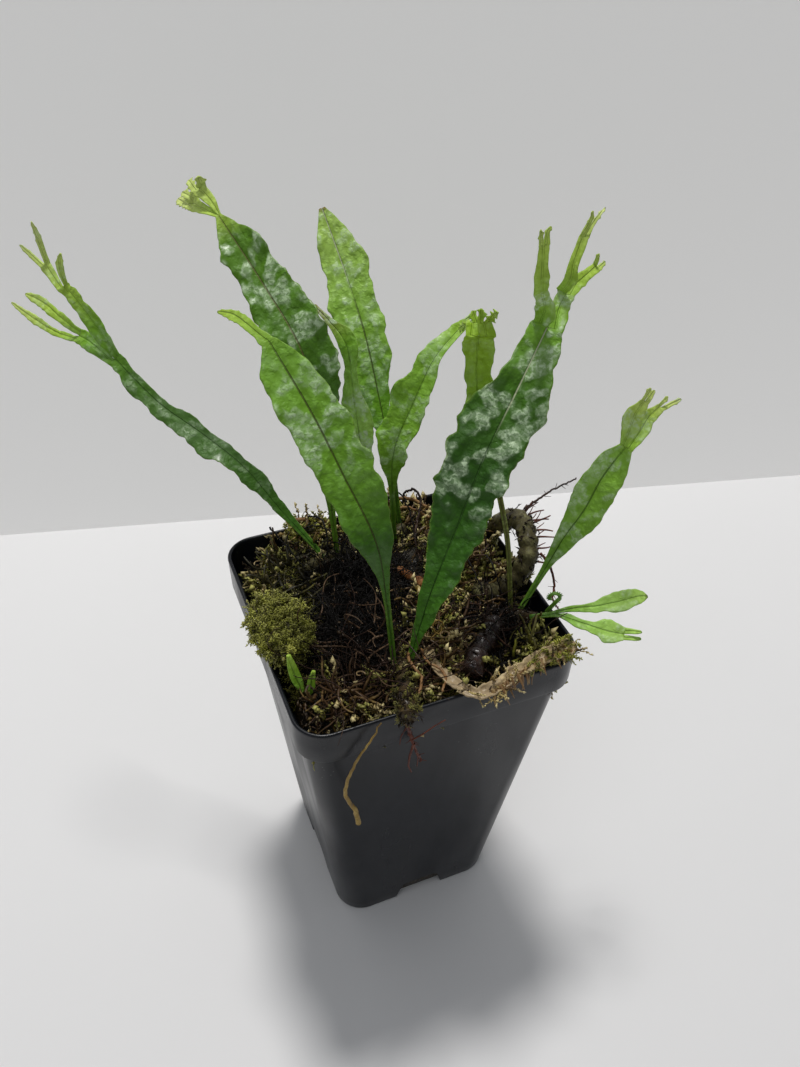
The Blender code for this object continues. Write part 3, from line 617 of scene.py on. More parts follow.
class Frond:
    def __init__(self, shape, style, seed):
        self.shape, self.style, self.seed = shape, style, seed
        self.points, self.faces = [], []
        self.facts = []
        path = [np.array(point, float) for point in shape["spine"]]
        path[0] = path[0] + unit(path[0] - path[1]) * style.get("buried", BURIED_FOOT)
        strips = style.get("strips", STRIPS)
        row = self.stretch(None, path, shape["left"], shape["right"], shape["face"], strips, shape["stalk"],
                           0.0)
        if "tail" in shape:
            row = self.lobe(row, shape["tail"], 1, True)
        if "lobes" in shape:
            self.fork(row, shape["lobes"], 1)

    def fork(self, row, lobes, level):
        middle = len(row) // 2
        for part, (points, more) in zip((row[: middle + 1], row[middle:]), lobes):
            last = self.lobe(part, points, level, not more)
            if more:
                self.fork(last, more, level + 1)

    def lobe(self, row, points, level, ends):
        start = sum((self.points[i] for i in row), np.zeros(3)) / len(row)
        first = np.linalg.norm(self.points[row[0]] - self.points[row[-1]]) / 2
        path = [start] + [np.array(point[:3], float) for point in points]
        half = [first] + [point[3] for point in points]
        face = (self.shape["face"][1], self.shape["face"][1])
        return self.stretch(row, path, half, half, face, len(row) - 1, 0, level, ends)

    def relief(self, reach, half, d, side):
        """Height in millimetres over the plain blade, and how much of it is blister, from 0 to 1."""
        style, seed = self.style, self.seed
        size = min(half / 7.0, 1.2)
        slant = d - abs(reach) * 0.75 + (1.4 if reach > 0 else 0.0)
        swell = math.sin(math.pi * slant / SIDE_VEIN_SPACING) ** 2
        lumps = wobble(reach / 3.4 + seed, d / 3.9, seed * 1.7) + 0.5 * wobble(reach / 1.7, d / 1.9 + seed,
                                                                               3.1)
        between = smooth_step(abs(reach) / 2.2) * (1 - smooth_step((abs(side) - 0.75) / 0.25) * 0.6)
        blister = between * (0.55 * swell + 1.25 * lumps - 0.2)
        height = 0.55 * style.get("blister", 0.55) * size * blister
        wave = wobble(d / style.get("ruffle_length", 9.0) + seed * 3.3, 4.0 if side > 0 else 9.0, seed)
        wave += 0.45 * wobble(d / 4.1 + seed, 14.0 if side > 0 else 19.0, seed)
        height += style.get("ruffle", 2.6) * size * abs(side) ** 2.2 * wave
        height -= 0.30 * size * math.exp(-((reach / 0.9) ** 2))
        return height, min(max(0.5 + 0.6 * blister, 0.0), 1.0)

    def stretch(self, row, path, left, right, face, strips, stalk, level, ends=False):
        """Rows of points along the path. It returns the last one."""
        length = length_of(path, 60)
        step = ROW_STEP if level == 0 else LOBE_ROW_STEP
        count = max(6, round(length / step))
        old_across = None
        start_d = 0.0
        if row:
            old_across = unit(self.points[row[0]] - self.points[row[-1]])
            start_d = max(self.facts[i][2] for i in row)
        for i in range(0 if row is None else 1, count + 1):
            s = i / count
            ahead = ahead_on(path, s, 0.01)
            looks = direction(*(np.array(face[0]) * (1 - s) + np.array(face[1]) * s))
            across = unit(np.cross(looks, ahead))
            if old_across is not None:
                hold = 1 - smooth_step(s / 0.6)
                across = unit(across * (1 - hold) + old_across * hold)
            upper = unit(np.cross(ahead, across))
            centre = along(path, s)
            round_stalk = max(0.0, 1 - s / stalk) if stalk and level == 0 else 0.0
            d = start_d + s * length
            new = []
            for strip in range(strips + 1):
                side = 1 - 2 * strip / strips
                half = max(float(along(left if side > 0 else right, s)), 0.25)
                half = self.notched(half, d, side, level, s, ends) * (1 - 0.3 * round_stalk)
                reach = side * half
                height, swell = abs(reach) * BLADE_FOLD, 0.5
                if half > 1.2:
                    rise, swell = self.relief(reach, half, d, side)
                    height += rise * smooth_step((half - 1.2) / 2)
                dome = math.sqrt(max(0.0, 1 - side * side))
                thick = MARGIN_THICKNESS + (SHEET_THICKNESS - MARGIN_THICKNESS) * dome
                thick += (RIB_THICKNESS * (1 - 0.6 * s) * math.exp(-((reach / 0.8) ** 2)) if level == 0 else 0.15 * dome)
                thick = thick * (1 - round_stalk) + (STALK_THICKNESS * dome + 0.12) * round_stalk
                self.facts.append((reach, side, d, thick, swell, 1.0 if level == 0 else 0.0))
                self.points.append(centre + across * reach + upper * (height - 0.45 * (thick - SHEET_THICKNESS)))
                new.append(len(self.points) - 1)
            if row:
                for a, b, c, e in zip(row, row[1:], new[1:], new):
                    self.faces.append((a, b, c, e))
            row = new
        return row

    def notched(self, half, d, side, level, s, ends):
        """Half width with the margin's waves and, towards the tips of the lobes, their teeth."""
        style = self.style
        edge = 7.0 if side > 0 else 3.0
        if level == 0 and half < 2.0:
            return half
        wave = wobble(d / 6.5 + self.seed, edge, self.seed) + 0.45 * wobble(d / 2.3, edge, self.seed * 2)
        if level == 0:
            return half * (1 + style.get("scallop", 0.12) * wave * MARGIN_WAVE)
        half *= 1 + LOBE_WAVE * wave
        if not ends:
            return half
        half *= math.sqrt(max(0.02, 1 - max(0.0, (s - 0.7) / 0.3) ** 2))
        place = (d / style.get("tooth_spacing", 2.4) + (0.5 if side > 0 else 0.0)) % 1.0
        tooth = max(0.0, 1 - abs(place - 0.65) / (0.35 if place < 0.65 else 0.2))
        early = style.get("teeth_from", 0.45)
        return half + style.get("teeth",
                                0.35) * tooth ** 1.3 * smooth_step((s - early) / 0.15) * (1 - smooth_step((s - 0.9) / 0.1))

    def build(self, name):
        obj = mesh_object(name, self.points, self.faces)
        mesh = obj.data
        facts = np.array(self.facts)
        longest = facts[:, 2].max()
        for label, values in (("age", facts[:, 2] / longest), ("side", facts[:, 1]), ("swell", facts[:, 4]),
                              ("whole", facts[:, 5])):
            store(mesh, label, values)
        layer = mesh.uv_layers.new(name="blade")
        corners = np.array([loop.vertex_index for loop in mesh.loops])
        layer.data.foreach_set("uv", facts[corners][:, [0, 2]].astype(np.float32).ravel())
        weights = obj.vertex_groups.new(name="thickness")
        thickest = facts[:, 3].max()
        for index, thick in enumerate(facts[:, 3]):
            weights.add([index], float(thick / thickest), "REPLACE")
        sheet = obj.modifiers.new("sheet", "SOLIDIFY")
        sheet.thickness = thickest * MM
        sheet.offset = 0
        sheet.vertex_group = weights.name
        settle(obj)
        obj.vertex_groups.clear()
        obj.data.shade_smooth()
        return obj


# %% [markdown]
# A frond's colour runs from its foot to its tips: the old part is deep green and the youngest forks are
# still yellow-green. The blisters' tops carry pale patches of painted sheen, broken into a net of light spots
# between darker veins. The upper skin is waxy, which a light clear coat gives.

# %% The fronds' finish


def frond_finish(name, stops, painted_sheen=0.3, painted_sheen_from=0.1, painted_sheen_to=1.0, veil_colour=(0.58, 0.74, 0.48),
                 rib=(0.03, 0.07, 0.01), rib_strength=0.4, rib_to=0.8, pale_rib=None, cells=1.6,
                 net_strength=0.28, dapple=0.55, seed=0.0, rough=0.46):
    made, tree, shader = new_material(name, Specular_IOR_Level=0.28, Coat_Roughness=0.24, IOR=1.45)
    uv = add(tree, "ShaderNodeSeparateXYZ", Vector=add(tree, "ShaderNodeUVMap", uv_map="blade"))
    age, side, swell = (value_of(tree, n) for n in ("age", "side", "swell"))
    look = use_group(tree, leaf, Across=uv, Along=uv.node.outputs[1], Swell=swell, Rib_width=0.34,
                     Cell_size=cells, Seed=seed)
    base = ramp(tree, age, stops)
    shade = add(tree, "ShaderNodeHueSaturation", Color=base, Value=0.66, Saturation=1.05)
    base = mix(tree, band(tree, look["Mottle"], 0.35, 0.62, dapple, 0.0), base, shade)
    cell_light = add(tree, "ShaderNodeHueSaturation", Color=base, Value=1.7, Saturation=0.9)
    base = mix(tree, times(tree, look["Net"], net_strength), base, cell_light)
    # Painted sheen: a pale colour mixed over the blisters, in a band of the frond's age.
    here = times(tree, band(tree, age, painted_sheen_from, painted_sheen_from + 0.12),
                 band(tree, age, painted_sheen_to, painted_sheen_to + 0.12, painted_sheen, 0.0))
    base = mix(tree, times(tree, look["Veil"], here), base, veil_colour)
    flat_side = maths(tree, "ABSOLUTE", side)
    whole = value_of(tree, "whole")
    on_rib = times(tree, look["Rib"], band(tree, flat_side, 0.45, 0.7, 1.0, 0.0))
    on_rib = times(tree, on_rib, whole)
    dark_here = band(tree, age, rib_to - 0.2, rib_to, rib_strength, 0.0)
    base = mix(tree, times(tree, on_rib, dark_here), base, rib)
    if pale_rib:
        pale_here = times(tree, band(tree, age, pale_rib - 0.08, pale_rib + 0.04, 0.0, 0.9), on_rib)
        base = mix(tree, pale_here, base, (0.52, 0.58, 0.36))
    base = mix(tree, times(tree, band(tree, flat_side, 0.93, 1.0), 0.3), base, (0.24, 0.36, 0.05))
    wire(tree, shader, Base_Color=base, Roughness=band(tree, look["Veil"], 0.0, 1.0, rough, rough - 0.08),
         Coat_Weight=band(tree, swell, 0.35, 0.85, 0.03, 0.38),
         Normal=bump(tree, look["Height"], 0.85, 0.32))
    return made


DEEP, LEAF, FRESH = (0.026, 0.092, 0.006), (0.060, 0.180, 0.010), (0.185, 0.400, 0.028)
LIME, PALE, BROWN = (0.42, 0.62, 0.07), (0.66, 0.76, 0.24), (0.20, 0.11, 0.035)
STYLES = {
    "frond_left": dict(
        blister=0.35, ruffle=1.8, scallop=0.20, teeth=0.25,
        finish=dict(stops=[(0.0, LEAF), (0.45, (0.070, 0.165, 0.028)), (0.6, (0.085, 0.21, 0.02)),
                           (0.72, FRESH),
                           (0.85, LIME), (1.0, PALE)],
                    painted_sheen=0.35, rib=(0.05, 0.12, 0.02))),
    "frond_back_left": dict(
        blister=0.95, ruffle=3.0, scallop=0.15, teeth=1.0, tooth_spacing=1.6, teeth_from=0.1,
        finish=dict(stops=[(0.0, FRESH), (0.3, (0.060, 0.165, 0.012)), (0.78, (0.10, 0.24, 0.012)),
                           (0.86, LIME), (1.0, PALE)],
                    painted_sheen=0.85, painted_sheen_to=0.76, rib=(0.16, 0.13, 0.05), rib_strength=0.7, rib_to=0.95)),
    "frond_front_left": dict(
        blister=0.6, ruffle=2.2, scallop=0.10, ruffle_length=13.0,
        finish=dict(stops=[(0.0, LEAF), (0.34, (0.040, 0.125, 0.006)), (0.5, (0.15, 0.34, 0.022)),
                           (0.8, (0.18, 0.39, 0.03)),
                           (1.0, LIME)],
                    painted_sheen=0.7, painted_sheen_from=0.46, painted_sheen_to=0.68, rib=(0.05, 0.045, 0.01), rib_strength=0.75,
                    rib_to=0.92)),
    "frond_back": dict(
        blister=0.8, ruffle=2.2, scallop=0.13,
        finish=dict(stops=[(0.0, LEAF), (0.4, FRESH), (0.7, (0.24, 0.45, 0.05)),
                           (0.975, (0.38, 0.58, 0.10)), (1.0, BROWN)],
                    painted_sheen=0.7, rib=(0.08, 0.09, 0.02), rib_strength=0.8, rib_to=0.8, pale_rib=0.80,
                    net_strength=0.45, cells=1.5)),
    "frond_centre": dict(
        blister=0.8, ruffle=2.6, scallop=0.14,
        finish=dict(stops=[(0.0, LEAF), (0.3, (0.34, 0.62, 0.09)), (0.6, (0.36, 0.64, 0.10)), (0.8, FRESH),
                           (1.0, BROWN)],
                    painted_sheen=0.9, painted_sheen_from=0.25, net_strength=0.4, rib_to=0.6)),
    "frond_right_leaning": dict(
        blister=0.45, ruffle=2.8, scallop=0.16, teeth=0.2,
        finish=dict(stops=[(0.0, LEAF), (0.35, (0.19, 0.40, 0.025)), (0.75, (0.25, 0.50, 0.04)),
                           (1.0, LIME)],
                    painted_sheen=0.5, rib=(0.08, 0.17, 0.015))),
    "frond_small_crested": dict(
        blister=0.5, ruffle=2.4, scallop=0.22, teeth=1.1, tooth_spacing=2.6, teeth_from=0.1,
        finish=dict(stops=[(0.0, (0.09, 0.075, 0.02)), (0.45, (0.10, 0.10, 0.02)),
                           (0.58, (0.21, 0.40, 0.022)),
                           (0.85, (0.34, 0.56, 0.03)), (1.0, LIME)],
                    painted_sheen=0.1, rib=(0.10, 0.20, 0.012))),
    "frond_front_right": dict(
        blister=0.95, ruffle=2.8, scallop=0.14, teeth=0.5, tooth_spacing=2.4, ruffle_length=11.0,
        finish=dict(stops=[(0.0, LEAF), (0.2, (0.038, 0.13, 0.006)), (0.42, DEEP),
                           (0.60, (0.06, 0.17, 0.010)),
                           (0.72, FRESH), (0.9, LIME), (1.0, PALE)],
                    painted_sheen=0.85, painted_sheen_from=0.28, painted_sheen_to=0.76, rib=(0.02, 0.06, 0.008), rib_strength=0.5,
                    rib_to=0.55,
                    pale_rib=0.56)),
    "frond_right": dict(
        blister=0.6, ruffle=1.8, scallop=0.08, teeth=0.4, ruffle_length=13.0,
        finish=dict(stops=[(0.0, LEAF), (0.35, (0.20, 0.42, 0.03)), (0.7, (0.27, 0.53, 0.05)), (0.85, LIME),
                           (1.0, PALE)],
                    painted_sheen=0.6, rib=(0.06, 0.13, 0.012), rib_strength=0.7)),
    "frond_two_lobed": dict(
        blister=0.4, ruffle=1.6, scallop=0.08, teeth=0.1,
        finish=dict(stops=[(0.0, LEAF), (0.3, FRESH), (0.5, (0.34, 0.60, 0.10)), (0.92, (0.42, 0.68, 0.12)),
                           (1.0, (0.20, 0.26, 0.05))],
                    painted_sheen=0.45)),
}
SEEDLING = dict(strips=10, blister=0.1, ruffle=0.6, scallop=0.03, buried=1.0,
                finish=dict(stops=[(0.0, FRESH), (0.5, (0.30, 0.58, 0.04)), (1.0, LIME)], painted_sheen=0.05))
for number, (name, shape) in enumerate(FRONDS.items()):
    style = STYLES.get(name, SEEDLING)
    grown = Frond(shape, style, 1.37 * number + 0.6).build(f"{name}_blade")
    grown.data.materials.append(frond_finish(f"{name}_surface", seed=7.0 * number, **style["finish"]))
    piece(grown, "frond" if name in STYLES and name != "frond_small_crested" else "light_frond", name)

# %% [markdown]
# ## Strands, made from curves
# Roots, fibres and rhizomes all start as paths. One Geometry Nodes tree sweeps a small polygon along every
# spline of a curve object, using each point's radius, so hundreds of hairs are one piece.

# %% Tubes along many paths
G = "NodeSocketGeometry"


def new_tree(name, inputs):
    """A Geometry Nodes tree with named inputs after its geometry, and its two end nodes."""
    tree = bpy.data.node_groups.new(name, "GeometryNodeTree")
    tree.interface.new_socket("Geometry", in_out="INPUT", socket_type=G)
    for label, kind in inputs:
        tree.interface.new_socket(label, in_out="INPUT", socket_type=kind)
    tree.interface.new_socket("Geometry", in_out="OUTPUT", socket_type=G)
    return tree, tree.nodes.new("NodeGroupInput").outputs, tree.nodes.new("NodeGroupOutput").inputs


def use_tree(obj, tree, **values):
    """Adds the tree as a modifier, with its inputs set by their sockets' identifiers."""
    modifier = obj.modifiers.new(tree.name, "NODES")
    modifier.node_group = tree
    for item in tree.interface.items_tree:
        label = item.name.replace(" ", "_")
        if item.item_type == "SOCKET" and item.in_out == "INPUT" and label in values:
            modifier[item.identifier] = values[label]


sweep, given, gives = new_tree("sweep strands",
                               [("Sides", "NodeSocketInt"), ("Material", "NodeSocketMaterial")])
ring = add(sweep, "GeometryNodeCurvePrimitiveCircle", Resolution=given["Sides"], Radius=1.0)
radius = add(sweep, "GeometryNodeInputRadius")
tube = add(sweep, "GeometryNodeCurveToMesh", Curve=given["Geometry"], Profile_Curve=ring, Fill_Caps=True)
if "Scale" in tube.node.inputs:
    sweep.links.new(radius, tube.node.inputs["Scale"])
tube = add(sweep, "GeometryNodeRealizeInstances", Geometry=tube)
tube = add(sweep, "GeometryNodeSetMaterial", Geometry=tube, Material=given["Material"])
sweep.links.new(tube, gives["Geometry"])


def strands(name, paths, finish, sides=5):
    """paths: (points in millimetres, thickness at the start, thickness at the end)."""
    curve = bpy.data.curves.new(name, "CURVE")
    curve.dimensions = "3D"
    for points, start, end in paths:
        spline = curve.splines.new("POLY")
        spline.points.add(len(points) - 1)
        for i, point in enumerate(points):
            share = i / (len(points) - 1)
            spline.points[i].co = (*(np.asarray(point) * MM), 1)
            spline.points[i].radius = (start + (end - start) * share) / 2 * MM
    obj = in_scene(name, curve)
    use_tree(obj, sweep, Sides=sides, Material=finish)
    made = settle(obj)
    made.data.shade_smooth()
    return made


FLOOR_DRAG = 0.35


def wander(rng, start, heading, length, step=1.3, turn=0.5, sink=0.0, lift=0.0, floor=None):
    """A root's path: it keeps its heading, turns a little at each step and lies on what is under it."""
    points = [np.array(start, float)]
    heading = unit(np.array(heading, float))
    bend = rng.normal(0, turn, 3)
    for _ in range(max(3, round(length / step))):
        bend = bend * 0.75 + rng.normal(0, turn, 3) * 0.45
        heading = unit(heading + bend * 0.45 + np.array([0, 0, lift - sink]))
        point = points[-1] + heading * step
        if floor is not None:
            ground = floor(point[0], point[1])
            if point[2] < ground:
                point[2] = ground + 0.1
                heading[2] = abs(heading[2]) * FLOOR_DRAG
        points.append(point)
    return points


# %% [markdown]
# ## The bed of moss
# Long-fibred sphagnum is packed round the roots. Under all the loose strands there is a lumpy mass, which
# is made first: rings of points from the pot's wall to the middle, each at the height of the solid bed
# there, with lumps of three sizes added. The fine strands then stand on it.

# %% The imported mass
bed = frame["nodes"]["moss_bed"]
bed_tree = BVHTree.FromPolygons([v.co for v in bed.data.vertices],
                                [tuple(p.vertices) for p in bed.data.polygons])


def bed_height(x, y):
    hit = bed_tree.ray_cast(Vector((x * MM, y * MM, 0.2)), Vector((0, 0, -1)))[0]
    return hit.z / MM if hit else 118.0


def lumps(x, y):
    return 2.3 * wobble(x / 8.5, y / 8.5, 2.0) + 1.3 * wobble(x / 3.7, y / 3.7, 5.0) + 0.6 * wobble(x / 1.6,
                                                                                                    y / 1.6,
                                                                                                    9.0)


def ground(x, y):
    reach = max(abs(x), abs(y))
    near_wall = smooth_step((42.0 - reach) / 4.0)
    return bed_height(x, y) + lumps(x, y) * (0.3 + 0.7 * near_wall) - 0.6


levels = [rounded_square(tub(1.6)[0] - 2 * WALL - 2.4, 8.0, 1.6, 6, 10)]
levels += [rounded_square(tub(z)[0] - 2 * WALL - 0.6, tub(z)[1] - WALL - 0.3, z, 6, 10) for z in (60.0,
                                                                                                  112.0)]
BED_SIDE, BED_RINGS = tub(115.0)[0] - 2 * WALL - 0.6, 44
for ring_number in range(BED_RINGS):
    share = 1 - ring_number / (BED_RINGS + 0.2)
    outline = rounded_square(BED_SIDE * share, 5.6 * share, 0, 6, 10)
    levels.append([(p[0], p[1], ground(p[0], p[1])) for p in outline])
mound = mesh_object("packed_moss", *stacked(levels))

# Where "dark" is strong, the peat turns near-black and very dark litter is scattered. This is partly the black
# root mats' own colour and partly painted shade under the crown and near the walls.
# spots: (x, y, radius across, radius along, strength)
SPOTS = {
    "fluff": [(-31, 14, 11, 9, 1.0), (-22, 30, 10, 6, 1.0), (-14, 40, 8, 5, 1.0), (-36, -16, 6, 6, 0.8),
              (8, 34, 8, 6, 0.7),
              (4, -8, 6, 7, 0.8), (10, -16, 5, 6, 0.9), (-4, -38, 9, 5, 0.5), (20, 8, 5, 5, 0.7),
              (38, -36, 7, 5, 1.0),
              (25, -5, 6, 6, 1.0), (-14, -40, 8, 4, 0.5), (2, 40, 8, 4, 0.9), (-30, 25, 7, 6, 0.8)],
    "shred": [(31, 8, 10, 14, 1.0), (10, -12, 8, 12, 1.0), (34, -37, 9, 5, 1.0), (-26, -34, 12, 7, 0.7),
              (12, 30, 12, 9, 0.9),
              (-22, 36, 9, 6, 0.9), (8, -32, 8, 8, 0.8), (-8, -34, 9, 8, 0.9), (-32, 27, 8, 7, 0.9),
              (40, 4, 5, 12, 0.7)],
    "dark": [(-8, 7, 16, 18, 1.0), (-18, -12, 14, 11, 1.0), (26, -23, 13, 12, 1.0), (-38, 40, 9, 8, 1.0),
             (40, 30, 8, 12, 0.8), (43, -14, 5, 14, 0.9), (-36, -32, 7, 7, 0.6), (-20, -24, 12, 6, 0.7)],
}


def share_of(kind, x, y):
    """How much of one kind of growth there is at a place, from 0 to 1."""
    best = 0.0
    for cx, cy, rx, ry, strength in SPOTS[kind]:
        best = max(best, strength * math.exp(-(((x - cx) / rx) ** 2 + ((y - cy) / ry) ** 2) ** 1.5))
    return best


GROWS_ABOVE, GROWS_WITHIN = 117, 39.6
places = [(v.co.x / MM, v.co.y / MM, v.co.z / MM) for v in mound.data.vertices]
for kind in SPOTS:
    shares = []
    for x, y, z in places:
        grows = z > GROWS_ABOVE and max(abs(x), abs(y)) < GROWS_WITHIN
        under_dark_spot = share_of("dark", x, y) if kind != "dark" else 0.0
        shares.append(share_of(kind, x, y) * (1 - 0.8 * under_dark_spot) if grows else 0.0)
    store(mound.data, kind, shares)
print(f"packed moss: {len(places)} points")

# %% [markdown]
# ## Moss and its litter
# Two kinds of small shape repeat over the bed: the leafy head of a living sphagnum stem, and a limp pale
# shred of dead moss. Each tiny leaf is a closed sliver of six triangles. Two values reach the scattered
# result: how near the tip a point is, and a tone that differs from plant to plant.

# %% Small shapes to scatter
SLIVER_POINTS = 5


def sliver(points, faces, tips, base, ahead, across, length, width, droop, low, high):
    """One closed leaf: foot, two shoulders, a keel and a tip."""
    normal = unit(np.cross(across, ahead))
    middle = base + ahead * length * 0.45 + normal * droop * length * 0.12
    first = len(points)
    points += [base, middle + across * width / 2, middle - across * width / 2,
               middle - normal * width * 0.28,
               base + ahead * length - normal * droop * length * 0.3]
    tips += [low, (low + high) / 2, (low + high) / 2, low, high]
    for a, b, c in ((0, 1, 4), (0, 4, 2), (0, 3, 1), (0, 2, 3), (4, 1, 3), (4, 3, 2)):
        faces.append((first + a, first + b, first + c))


def moss_head(name, seed, leaves=26, stem=4.4, leaf_length=1.9, leaf_width=0.78, lean=0.5):
    """A stem end of sphagnum: leaves all round, longer below and crowded at the top."""
    rng = np.random.default_rng(seed)
    points, faces, tips = [], [], []
    side = unit(np.array([rng.normal(), rng.normal(), 0]))
    for i in range(leaves):
        s = (i + 0.5) / leaves
        rise = s ** 0.8
        base = np.array([0, 0, 1]) * stem * rise + side * stem * lean * s * s
        turn = i * 2.4 + rng.normal(0, 0.3)
        out = np.array([math.cos(turn), math.sin(turn), 0])
        upward = 0.15 + 1.1 * s * s + rng.normal(0, 0.15)
        ahead = unit(out + np.array([0, 0, upward]))
        across = unit(np.cross(ahead, np.array([0, 0, 1.0])))
        length = leaf_length * (1.25 - 0.55 * s) * rng.uniform(0.8, 1.2)
        sliver(points, faces, tips, base, ahead, across, length, leaf_width, rng.uniform(0, 1), 0.35 * s,
               0.45 + 0.55 * s)
    return keep_shape(name, points, faces, tips)


def moss_shred(name, seed, length=9.0, width=1.1, leaves=9):
    """A limp dead stem: flattened overlapping scales along a curl."""
    rng = np.random.default_rng(seed)
    points, faces, tips = [], [], []
    heading = unit(np.array([1.0, rng.normal(0, 0.3), 0.25]))
    base = np.zeros(3)
    curl = rng.normal(0, 0.35, 3)
    for i in range(leaves):
        heading = unit(heading + curl * 0.5 + np.array([0, 0, -0.05]))
        across = unit(np.cross(heading, np.array([0, 0, 1.0])) + rng.normal(0, 0.35, 3))
        part = length / leaves
        sliver(points, faces, tips, base, unit(heading + rng.normal(0, 0.15, 3)), across, part * 2.1,
               width * rng.uniform(0.8, 1.3), rng.uniform(-1, 1), i / leaves, (i + 1) / leaves)
        base = base + heading * part
    return keep_shape(name, points, faces, tips)


def keep_shape(name, points, faces, tips):
    obj = mesh_object(name, points, faces)
    turn_outward(obj.data)
    store(obj.data, "tip", tips)
    return obj


def gather(name, shapes):
    kept = bpy.data.collections.new(name)
    bpy.context.scene.collection.children.link(kept)
    for shape in shapes:
        bpy.context.scene.collection.objects.unlink(shape)
        kept.objects.link(shape)
        shape.hide_render = True
    return kept


heads = gather("moss_heads", [moss_head(f"head_{n}", 20 + n, lean=0.3 + 0.2 * n) for n in range(5)])
shreds = gather("moss_shreds", [moss_shred(f"shred_{n}", 40 + n, 5.5 + 1.5 * n,
                                           1.25 + 0.2 * n) for n in range(5)])

# %% [markdown]
# The scattering tree takes a surface, and the name of the value that says how thickly the shapes stand on
# each part of it. Its other inputs are sizes, the lean away from upright and a seed.

# %% The scattering tree
scatter, given, gives = new_tree("scatter shapes", [
    ("Shapes", "NodeSocketCollection"), ("Per square metre", FLOAT), ("Where", "NodeSocketString"),
    ("Smallest", FLOAT), ("Largest", FLOAT), ("Lean", FLOAT), ("Sunk", FLOAT), ("Seed", "NodeSocketInt"),
    ("Material", "NodeSocketMaterial")])
where = add(scatter, "GeometryNodeInputNamedAttribute", data_type="FLOAT", Name=given["Where"])
thick = times(scatter, where, given["Per square metre"])
spread = add(scatter, "GeometryNodeDistributePointsOnFaces", distribute_method="RANDOM",
             Mesh=given["Geometry"],
             Density=thick, Seed=given["Seed"]).node.outputs
lean = add(scatter, "ShaderNodeCombineXYZ", X=given["Lean"], Y=given["Lean"], Z=math.pi)
back = add(scatter, "ShaderNodeVectorMath", operation="SCALE", i0=lean, Scale=-1.0)
turned = add(scatter, "FunctionNodeRandomValue", data_type="FLOAT_VECTOR", i0=back, i1=lean,
             Seed=given["Seed"])
size = add(scatter, "FunctionNodeRandomValue", out=1, data_type="FLOAT", i2=given["Smallest"],
                       i3=given["Largest"], Seed=given["Seed"])
rotation = add(scatter, "FunctionNodeRotateRotation", rotation_space="LOCAL", Rotation=spread["Rotation"],
               Rotate_By=turned)
instances = add(scatter, "GeometryNodeInstanceOnPoints", Points=spread["Points"], Pick_Instance=True,
                Instance=add(scatter, "GeometryNodeCollectionInfo", Collection=given["Shapes"],
                             Separate_Children=True, Reset_Children=True),
                Rotation=rotation, Scale=size)
sunk = add(scatter, "ShaderNodeCombineXYZ", Z=times(scatter, given["Sunk"], -MM))
instances = add(scatter, "GeometryNodeTranslateInstances", Instances=instances, Translation=sunk)
differs = add(scatter, "FunctionNodeRandomValue", out=1, data_type="FLOAT", i2=0.0, i3=1.0)
instances = add(scatter, "GeometryNodeStoreNamedAttribute", data_type="FLOAT", domain="INSTANCE",
                Geometry=instances,
                Name="tone", Value=differs)
whole = add(scatter, "GeometryNodeRealizeInstances", Geometry=instances)
whole = add(scatter, "GeometryNodeSetMaterial", Geometry=whole, Material=given["Material"])
scatter.links.new(whole, gives["Geometry"])


def growth(name, surface, shapes, where, finish, per_square_metre, smallest, largest, lean, seed, sunk=0.5):
    """Scatters shapes over a copy of a surface, and returns only the shapes."""
    base = surface.copy()
    base.data = surface.data.copy()
    base.name = name
    bpy.context.scene.collection.objects.link(base)
    use_tree(base, scatter, Shapes=shapes, Per_square_metre=per_square_metre, Where=where,
             Smallest=smallest,
             Largest=largest, Lean=lean, Sunk=sunk, Seed=seed, Material=finish)
    return clear_of_wall(settle(base))


CLEAR_INSIDE, CLEAR_OUTSIDE = 1.7, 0.3


def clear_of_wall(grown):
    """Takes away every plant with a leaf inside the pot's wall or on its way through it."""
    mesh = grown.data
    points = np.empty(len(mesh.vertices) * 3, np.float32)
    mesh.vertices.foreach_get("co", points)
    points = points.reshape(-1, SLIVER_POINTS, 3) / MM
    reach = np.abs(points[:, :, :2]).max(axis=2)
    below_rim = points[:, :, 2] < POT_HEIGHT + CLEAR_OUTSIDE
    in_wall = below_rim & (reach > POT_TOP / 2 - CLEAR_INSIDE) & (reach < POT_TOP / 2 + CLEAR_OUTSIDE)
    through = (reach.min(axis=1) < POT_TOP / 2) & (reach.max(axis=1) > POT_TOP / 2) & below_rim.all(axis=1)
    lost = np.repeat(in_wall.any(axis=1) | through, SLIVER_POINTS)
    tones = np.empty(len(mesh.vertices), np.float32)
    mesh.attributes["tone"].data.foreach_get("value", tones)
    lost = np.isin(tones, tones[lost])
    repair = bmesh.new()
    repair.from_mesh(mesh)
    repair.verts.ensure_lookup_table()
    bmesh.ops.delete(repair, geom=[repair.verts[i] for i in np.flatnonzero(lost)], context="VERTS")
    repair.to_mesh(mesh)
    repair.free()
    return grown


# %% [markdown]
# Living moss is translucent yellow-green at its tips and brown where the stem is old. Dead moss dries to
# straw and tan. Both are matt, with a little shine where they are wet.

# %% Moss finishes


